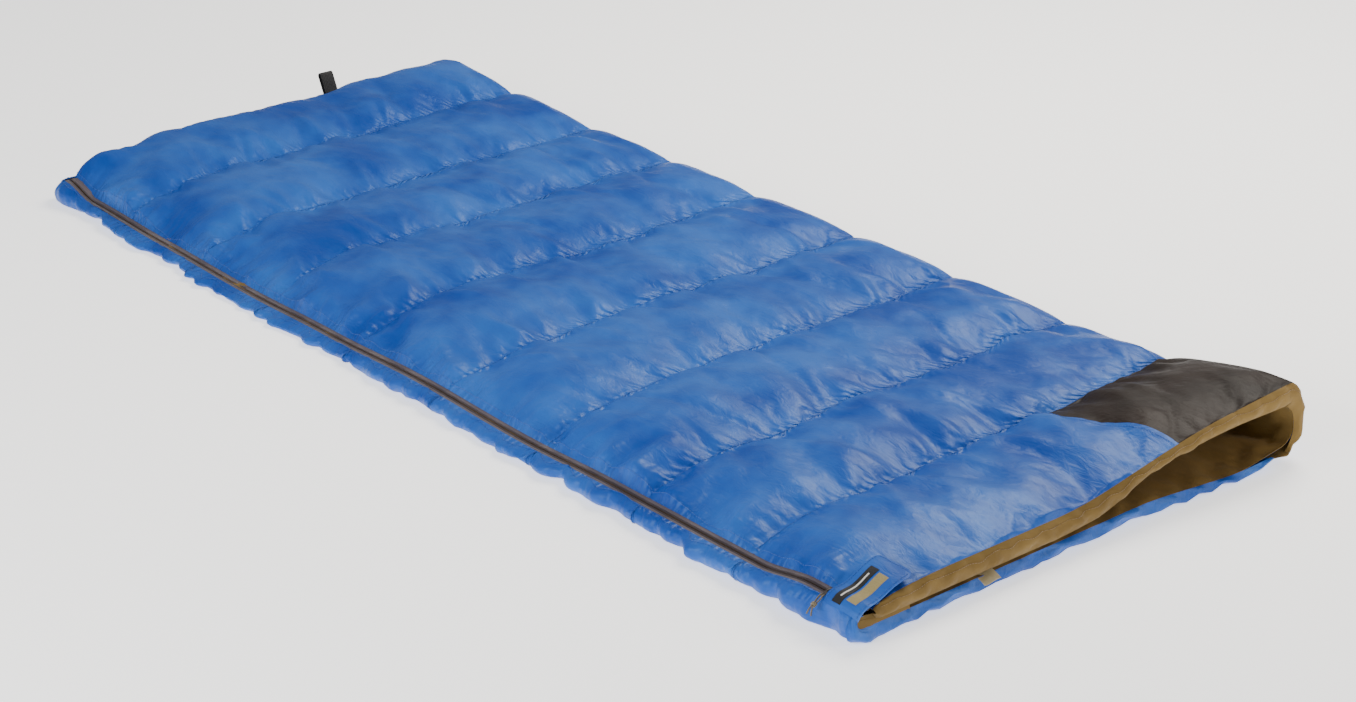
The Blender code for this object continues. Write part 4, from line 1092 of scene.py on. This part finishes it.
say("zip is made")

# Closure tab with its label

tab = {
    "x": (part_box("closure_tab")[0][0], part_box("closure_tab")[1][0]),
    "reach": 0.092,          # free end, from the zip side's outermost edge
    "thick": 0.0016,
    "corner": 0.008,
    "clear": 0.0038,         # hook and loop between the tab and the shell
}


def shellTop(x, y):
    # height of the settled upper shell at a point
    top = outerPoints[:outer["mouthRow"] + 1, :outer["topColumns"]]
    apart = (top[..., 0] - x) ** 2 + (top[..., 1] - y) ** 2
    return top[..., 2].flat[np.argsort(apart, axis=None)[:6]].mean()


tabProfile = [(zipEdge + 0.0085, 0.0345), (zipEdge + 0.0095, 0.0405), (zipEdge + 0.0150, 0.0465),
              (zipEdge + 0.0240, 0.0515)]
middleX = (tab["x"][0] + tab["x"][1]) / 2
for y in np.linspace(zipEdge + 0.034, zipEdge + tab["reach"], 9):
    height = max(shellTop(x, y) for x in np.linspace(tab["x"][0], min(tab["x"][1], mouthEdge), 5))
    tabProfile.append((y, height + tab["clear"]))
tabProfile = np.array(tabProfile)
for _ in range(3):
    tabProfile[1:-1] = (tabProfile[:-2] + 2 * tabProfile[1:-1] + tabProfile[2:]) / 4
tabSpan = travelled(tabProfile)
tabLength = tabSpan[-1]


def tabPoint(s, x, lift=0.0):
    # s metres from the hinge along the tab; the cloth droops a little towards its long edges
    y, z = (np.interp(s, tabSpan, tabProfile[:, k]) for k in (0, 1))
    ahead, behind = np.clip(s + 0.002, 0, tabLength), np.clip(s - 0.002, 0, tabLength)
    dy, dz = (np.interp(ahead, tabSpan, tabProfile[:, k]) - np.interp(behind, tabSpan, tabProfile[:, k])
              for k in (0, 1))
    size = np.hypot(dy, dz)
    droop = 0.0016 * ((x - middleX) / (tab["x"][1] - middleX)) ** 4
    wave = 0.0007 * np.sin(s * 95 + x * 60)
    normal = np.stack([0 * s, -dz / size, dy / size], -1)
    return np.stack([x, y, z - droop + wave], -1) + normal * lift


def tabGrid(s0, s1, x0, x1, nS, nX, lift, corner=0.0):
    s, x = np.meshgrid(np.linspace(s0, s1, nS), np.linspace(x0, x1, nX), indexing="ij")
    if corner:
        # round the two corners of the free end by drawing the last rows in
        over = np.clip(s - (s1 - corner), 0, corner)
        pull = corner - np.sqrt(np.clip(corner ** 2 - over ** 2, 0, None))
        centre = (x0 + x1) / 2
        x = centre + (x - centre) * (1 - pull / ((x1 - x0) / 2))
    return tabPoint(s, x, lift)


def tabPiece(name, points, thick, material):
    # the grid runs away from the zip and along X, so its normals look down: turn it over
    points = points[:, ::-1]
    return fabricPiece(name, points, gridNormals(points), True, thick, material)


left, right = tab["x"]
closureTab = tabPiece("closureTabCloth", tabGrid(0, tabLength, left, right, 46, 26, 0.0, tab["corner"]),
                      tab["thick"], shellCloth)
give(closureTab, "closure_tab", "tab_polyester", "closure_tab")
labelSpan, labelX = (0.005, 0.005 + 0.064), (left + 0.012, left + 0.025)
patchSpan, patchX = (tabLength - 0.025, tabLength - 0.003), (left + 0.008, right - 0.012)
lineSpan, lineX = (labelSpan[0] + 0.010, labelSpan[1] - 0.010), (labelX[0] + 0.0055, labelX[0] + 0.0078)
barSpan, barX = (0.014, 0.066), (labelX[1] + 0.003, labelX[1] + 0.018)
# each flat piece on or under the tab: its place, rows and columns, lift from the tab's face, thickness
onTab = {}
for name, span, wide, counts, lift, thick, material, bodyName, slotName, nodes in (
        ("wovenLabel", labelSpan, labelX, (28, 8), 0.0006, 0.0005, labelCloth,
         "closure_tab", "woven_label", ["woven_label"]),
        ("labelLine", lineSpan, lineX, (24, 3), 0.00075, 0.0001, printPale, "closure_tab", "woven_label", []),
        ("printedBar", barSpan, barX, (26, 8), 0.0002, 0.00015, printKhaki, "closure_tab", "tab_polyester", []),
        ("hookPatch", patchSpan, patchX, (10, 16), -tab["thick"] - 0.0001, 0.0009, hookNylon,
         "closure_tab", "hook_and_loop", ["hook_patch"]),
        ("loopPatch", patchSpan, patchX, (10, 16), -tab["thick"] - 0.0013, 0.0009, hookNylon,
         "upper_quilt", "hook_and_loop", ["loop_patch"])):
    onTab[name] = tabPiece(name, tabGrid(*span, *wide, *counts, lift), thick, material)
    give(onTab[name], bodyName, slotName, *nodes)
say("tab is made")

# Hanging loop of folded webbing

loop = {"y": 0.145, "wide": 0.023, "long": 0.061, "thick": 0.0013, "leg": 0.0050, "selvedge": 0.0009,
        "lean": math.radians(25.0), "x": foot + 0.0080, "z": 0.0345}
track = [(-loop["leg"] + 0.0010, 0.0), (-loop["leg"] + 0.0002, 0.006), (-loop["leg"], 0.014)]
track += [(-loop["leg"], v) for v in np.linspace(0.022, loop["long"] - loop["leg"], 5)]
for angle in np.linspace(180, 0, 9)[1:-1]:
    track.append((loop["leg"] * math.cos(math.radians(angle)),
                  loop["long"] - loop["leg"] + loop["leg"] * math.sin(math.radians(angle))))
track += [(-a, b) for a, b in track[7::-1]]
leanCos, leanSin = math.cos(loop["lean"]), math.sin(loop["lean"])
loopLine = np.array([(loop["x"] + a * leanCos - b * leanSin, loop["y"], loop["z"] + a * leanSin + b * leanCos)
                     for a, b in track])
tangents = unit(np.gradient(loopLine, axis=0))
acrossLoop = np.tile(np.array([0.0, 1.0, 0.0]), (len(track), 1))
outLoop = unit(np.cross(tangents, acrossLoop))
w, t = loop["wide"] / 2, loop["thick"]
edge = w - loop["selvedge"]
webOutline = [(-w, -0.2 * t), (-w, -0.75 * t), (-edge, -t), (0, -t), (edge, -t), (w, -0.75 * t), (w, -0.2 * t),
              (edge, 0), (0, 0), (-edge, 0)]
hangingLoop = sweptPiece("hangingLoopWebbing", loopLine, acrossLoop, outLoop, webOutline, webbingCloth)
give(hangingLoop, "hanging_loop", "webbing", "hanging_loop")

# Corner of the lining behind the tab

gusset = {"from": zipEdge + 0.010, "to": zipEdge + 0.090, "low": 0.0100, "high": 0.0360, "back": 0.0058}
s, v = np.meshgrid(np.linspace(0, 1, 8), np.linspace(0, 1, 18), indexing="ij")
gussetZ = gusset["low"] + (gusset["high"] - gusset["low"]) * s * (1 - 0.42 * v)
gussetGrid = np.stack([mouth - gusset["back"] + 0.0015 * np.sin(math.pi * s) + 0 * v,
                       mix(gusset["from"], gusset["to"], v), gussetZ], -1)
gussetGrid = gussetGrid[:, ::-1]
cornerLining = fabricPiece("cornerLiningCloth", gussetGrid, gridNormals(gussetGrid), True, quilt["cloth"],
                           liningCloth)
give(cornerLining, "lower_quilt", "lining_polyester")

# Care label at the mouth

care = {"y": -0.165, "wide": 0.026, "long": 0.026}
s, v = np.meshgrid(np.linspace(0, 1, 12), np.linspace(-0.5, 0.5, 8), indexing="ij")
careZ = float(upperInside(mouth, np.array(care["y"]), 1.0)) - 0.0035
careGrid = np.stack([mouth - 0.018 + care["long"] * s, care["y"] + care["wide"] * v - 0.002 * s,
                     careZ - 0.006 * s ** 2 + 0.001 * np.sin(5 * v)], -1)
careLabel = fabricPiece("careLabel", careGrid, gridNormals(careGrid), True, 0.0003, careCloth)
give(careLabel, "upper_quilt", "care_label", "care_label")

# Pull cord, knotted, with two tails

bail = [j for j in frame["joints"] if j["name"] == "pull_swing"][0]["pos_m"]
pull = {"link": 0.0100, "tilt": math.radians(-12.0), "diameter": 0.0020}
linkEnd = np.array(bail) + pull["link"] * np.array([0, -math.cos(pull["tilt"]), math.sin(pull["tilt"])])
knotAt = linkEnd + np.array([0.0, -0.0130, -0.0068])
halfRoute = [(0.0036, -0.0074, -0.0105), (0.0028, -0.0064, -0.0076), (0.0020, -0.0050, -0.0045),
             (0.0013, -0.0030, -0.0018), (0.0011, 0.0, 0.0), (0.0016, 0.0038, 0.0021)]
upRoute = [(0.0022, -0.0060, -0.0030), (0.0020, -0.0020, 0.0004), (0.0009, 0.0010, 0.0002)]
route = [knotAt + np.array(p) for p in halfRoute] + [linkEnd + np.array(p) for p in upRoute]
route += [np.array([2 * bail[0] - p[0], p[1], p[2]]) for p in route[::-1]]
curve = bpy.data.curves.new("pullCord", "CURVE")
curve.dimensions = "3D"
curve.bevel_depth = pull["diameter"] / 2
curve.bevel_resolution = 3
curve.use_fill_caps = True
spline = curve.splines.new("NURBS")
spline.points.add(len(route) - 1)
for target, point in zip(spline.points, route):
    target.co = (*point, 1.0)
spline.use_endpoint_u = True
spline.order_u = 3
spline.resolution_u = 4
curve.materials.append(cordBraid)
pullCord = linked("pullCord", curve)
give(pullCord, "zip_pull", "pull_cord", "pull_cord", "cord_tail_a", "cord_tail_b")

# the knot: one strand wound two and a half times round the doubled cord
knotted = {"turns": 2.5, "points": 46, "strand": 0.00105, "around": 8}
turnsKnot = np.linspace(0, 2 * math.pi * knotted["turns"], knotted["points"])
axisDir = unit(np.array([0.0, 0.0155, 0.0085]))
sideDir = np.array([1.0, 0, 0])
thirdDir = np.cross(axisDir, sideDir)
wind = np.array([knotAt + axisDir * mix(-0.0022, 0.0022, k / (knotted["points"] - 1))
                 + (sideDir * math.cos(a) * 0.0026 + thirdDir * math.sin(a) * 0.0021)
                 for k, a in enumerate(turnsKnot)])
windTangent = unit(np.gradient(wind, axis=0))
windSide = unit(np.cross(windTangent, np.tile(axisDir, (knotted["points"], 1))))
windUp = np.cross(windSide, windTangent)
knot = sweptPiece("pullKnot", wind, windSide, windUp, ringOf(knotted["strand"], knotted["around"]), cordBraid)
give(knot, "zip_pull", "pull_cord", "pull_knot")
say("cord, loop and labels are made")

# Stitching

# the thread is drawn about twice its real size
stitching = {"spacing": 0.0038, "long": 0.0027, "thread": 0.00032, "wobble": 0.12, "seed": 7}
stitchShape = [(-stitching["long"] / 2, 0, -0.0004), (-stitching["long"] / 4, 0, 0.0001),
               (stitching["long"] / 4, 0, 0.0001), (stitching["long"] / 2, 0, -0.0004)]
stitch = roundBar("stitch", stitchShape, stitching["thread"], 4)


def gridLine(points, normals, rowSlice, columnSlice, lift):
    path = points[rowSlice, columnSlice].reshape(-1, 3)
    up = normals[rowSlice, columnSlice].reshape(-1, 3)
    return path + up * lift, up


def outerLine(rows, columns):
    return gridLine(outerPoints, outerNormals, rows, columns, lift)


def stitchRun(name, lines, material, bodyName, slotName):
    run = repeated(name, [a for a, b in lines], [b for a, b in lines], stitch, stitching["spacing"],
                   stitching["wobble"], stitching["seed"], material)
    if bodyName:
        give(run, bodyName, slotName)
    else:
        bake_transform(run)
    return run


seamRows = np.flatnonzero(outer["seam"])
lift = 0.0004
lengthRows = slice(1, outer["mouthRow"] + 1)
upperLines = [outerLine(r, slice(1, outer["foldFrom"] + 1)) for r in seamRows]
upperLines += [outerLine(lengthRows, 1), outerLine(1, slice(1, outer["topColumns"])),
               outerLine(slice(outer["panelRow"], outer["mouthRow"]), outer["panelColumn"] - 1)]
stitchRun("upperShellStitches", upperLines, threadBlue, "upper_quilt", "shell_polyester")
lowerLines = [outerLine(r, slice(outer["foldTo"], -1)) for r in seamRows]
lowerLines += [outerLine(lengthRows, -2), outerLine(1, slice(outer["lowFrom"], -1))]
stitchRun("lowerShellStitches", lowerLines, threadBlue, "lower_quilt", "shell_polyester")
foldLines = [outerLine(r, slice(outer["foldFrom"], outer["foldTo"] + 1)) for r in seamRows]
stitchRun("foldStitches", foldLines, threadBlue, None, "shell_polyester")
liningSeams = np.flatnonzero(lining["seam"])
for name, columns, bodyName in (("lowerLiningStitches", slice(1, lining["foldFrom"]), "lower_quilt"),
                                ("upperLiningStitches", slice(lining["foldTo"], -1), "upper_quilt")):
    stitchRun(name, [gridLine(liningPoints, liningNormals, r, columns, lift) for r in liningSeams], threadTan,
              bodyName, "lining_polyester")
hemRow = outer["mouthRow"] + 2
stitchRun("mouthStitches", [outerLine(hemRow, slice(2, outer["foldFrom"]))], threadTan, "upper_quilt",
          "lining_polyester")

inset = 0.003
s = np.linspace(0.004, tabLength - 0.008, 24)
x = np.linspace(left + 0.007, right - 0.007, 14)
tabEdge = [tabPoint(s, np.full_like(s, left + inset), lift), tabPoint(s, np.full_like(s, right - inset), lift),
           tabPoint(np.full_like(x, tabLength - inset), x, lift)]
stitchRun("tabStitches", [(line, np.tile([0.0, -0.3, 1.0], (len(line), 1))) for line in tabEdge], threadBlue,
          "closure_tab", "tab_polyester")
bpy.data.objects.remove(stitch, do_unlink=True)
say("stitching is made")

# Floor, light and camera

stage = {"floor": "#fdfdfd", "world": "#ffffff", "worldStrength": 0.34, "floorGlow": 1.0}
paper = bareMaterial(                                                   # seamless paper: pale and quite matt
    "studioPaper", Base_Color=colour(stage["floor"]), Roughness=0.9, Specular_IOR_Level=0.1,
    Emission_Color=colour(stage["world"]), Emission_Strength=stage["floorGlow"])[0]
floor = meshPiece("floor", [(-40, -40, 0), (40, -40, 0), (40, 40, 0), (-40, 40, 0)], [(0, 1, 2, 3)], paper)
world = bpy.data.worlds.new("studio")
world.use_nodes = True
world.node_tree.nodes["Background"].inputs["Color"].default_value = colour(stage["world"])
world.node_tree.nodes["Background"].inputs["Strength"].default_value = stage["worldStrength"]
scene.world = world
for name, place, size, power, tint in (("keySoftbox", (0.0, 1.60, 2.20), 1.4, 72.0, "#fff9ee"),
                                       ("zipSideSoftbox", (0.5, -2.6, 1.3), 1.2, 52.0, "#ffffff"),
                                       ("mouthFill", (2.6, 1.3, 0.8), 0.7, 22.0, "#fff6e8")):
    light = bpy.data.lights.new(name, "AREA")
    light.size = size
    light.energy = power
    light.color = colour(tint)[:3]
    lamp = linked(name, light)
    lamp.location = place
    lamp.rotation_euler = (Vector((0, 0, 0.03)) - Vector(place)).to_track_quat("-Z", "Y").to_euler()

view = {"place": (2.7805, -2.1763, 1.5143), "turn": 140.315, "down": 24.019, "roll": -0.389, "lens": 73.58}
lens = bpy.data.cameras.new("camera")
lens.sensor_width = 36.0
lens.lens = view["lens"]
lens.clip_end = 120.0
camera = linked("camera", lens)
camera.location = view["place"]
turn, down = math.radians(view["turn"]), math.radians(view["down"])
ahead = Vector((math.cos(turn) * math.cos(down), math.sin(turn) * math.cos(down), -math.sin(down)))
camera.rotation_mode = "QUATERNION"
camera.rotation_quaternion = ahead.to_track_quat("-Z", "Y") @ Quaternion((0, 0, 1), math.radians(view["roll"]))
scene.camera = camera
say("stage is set")
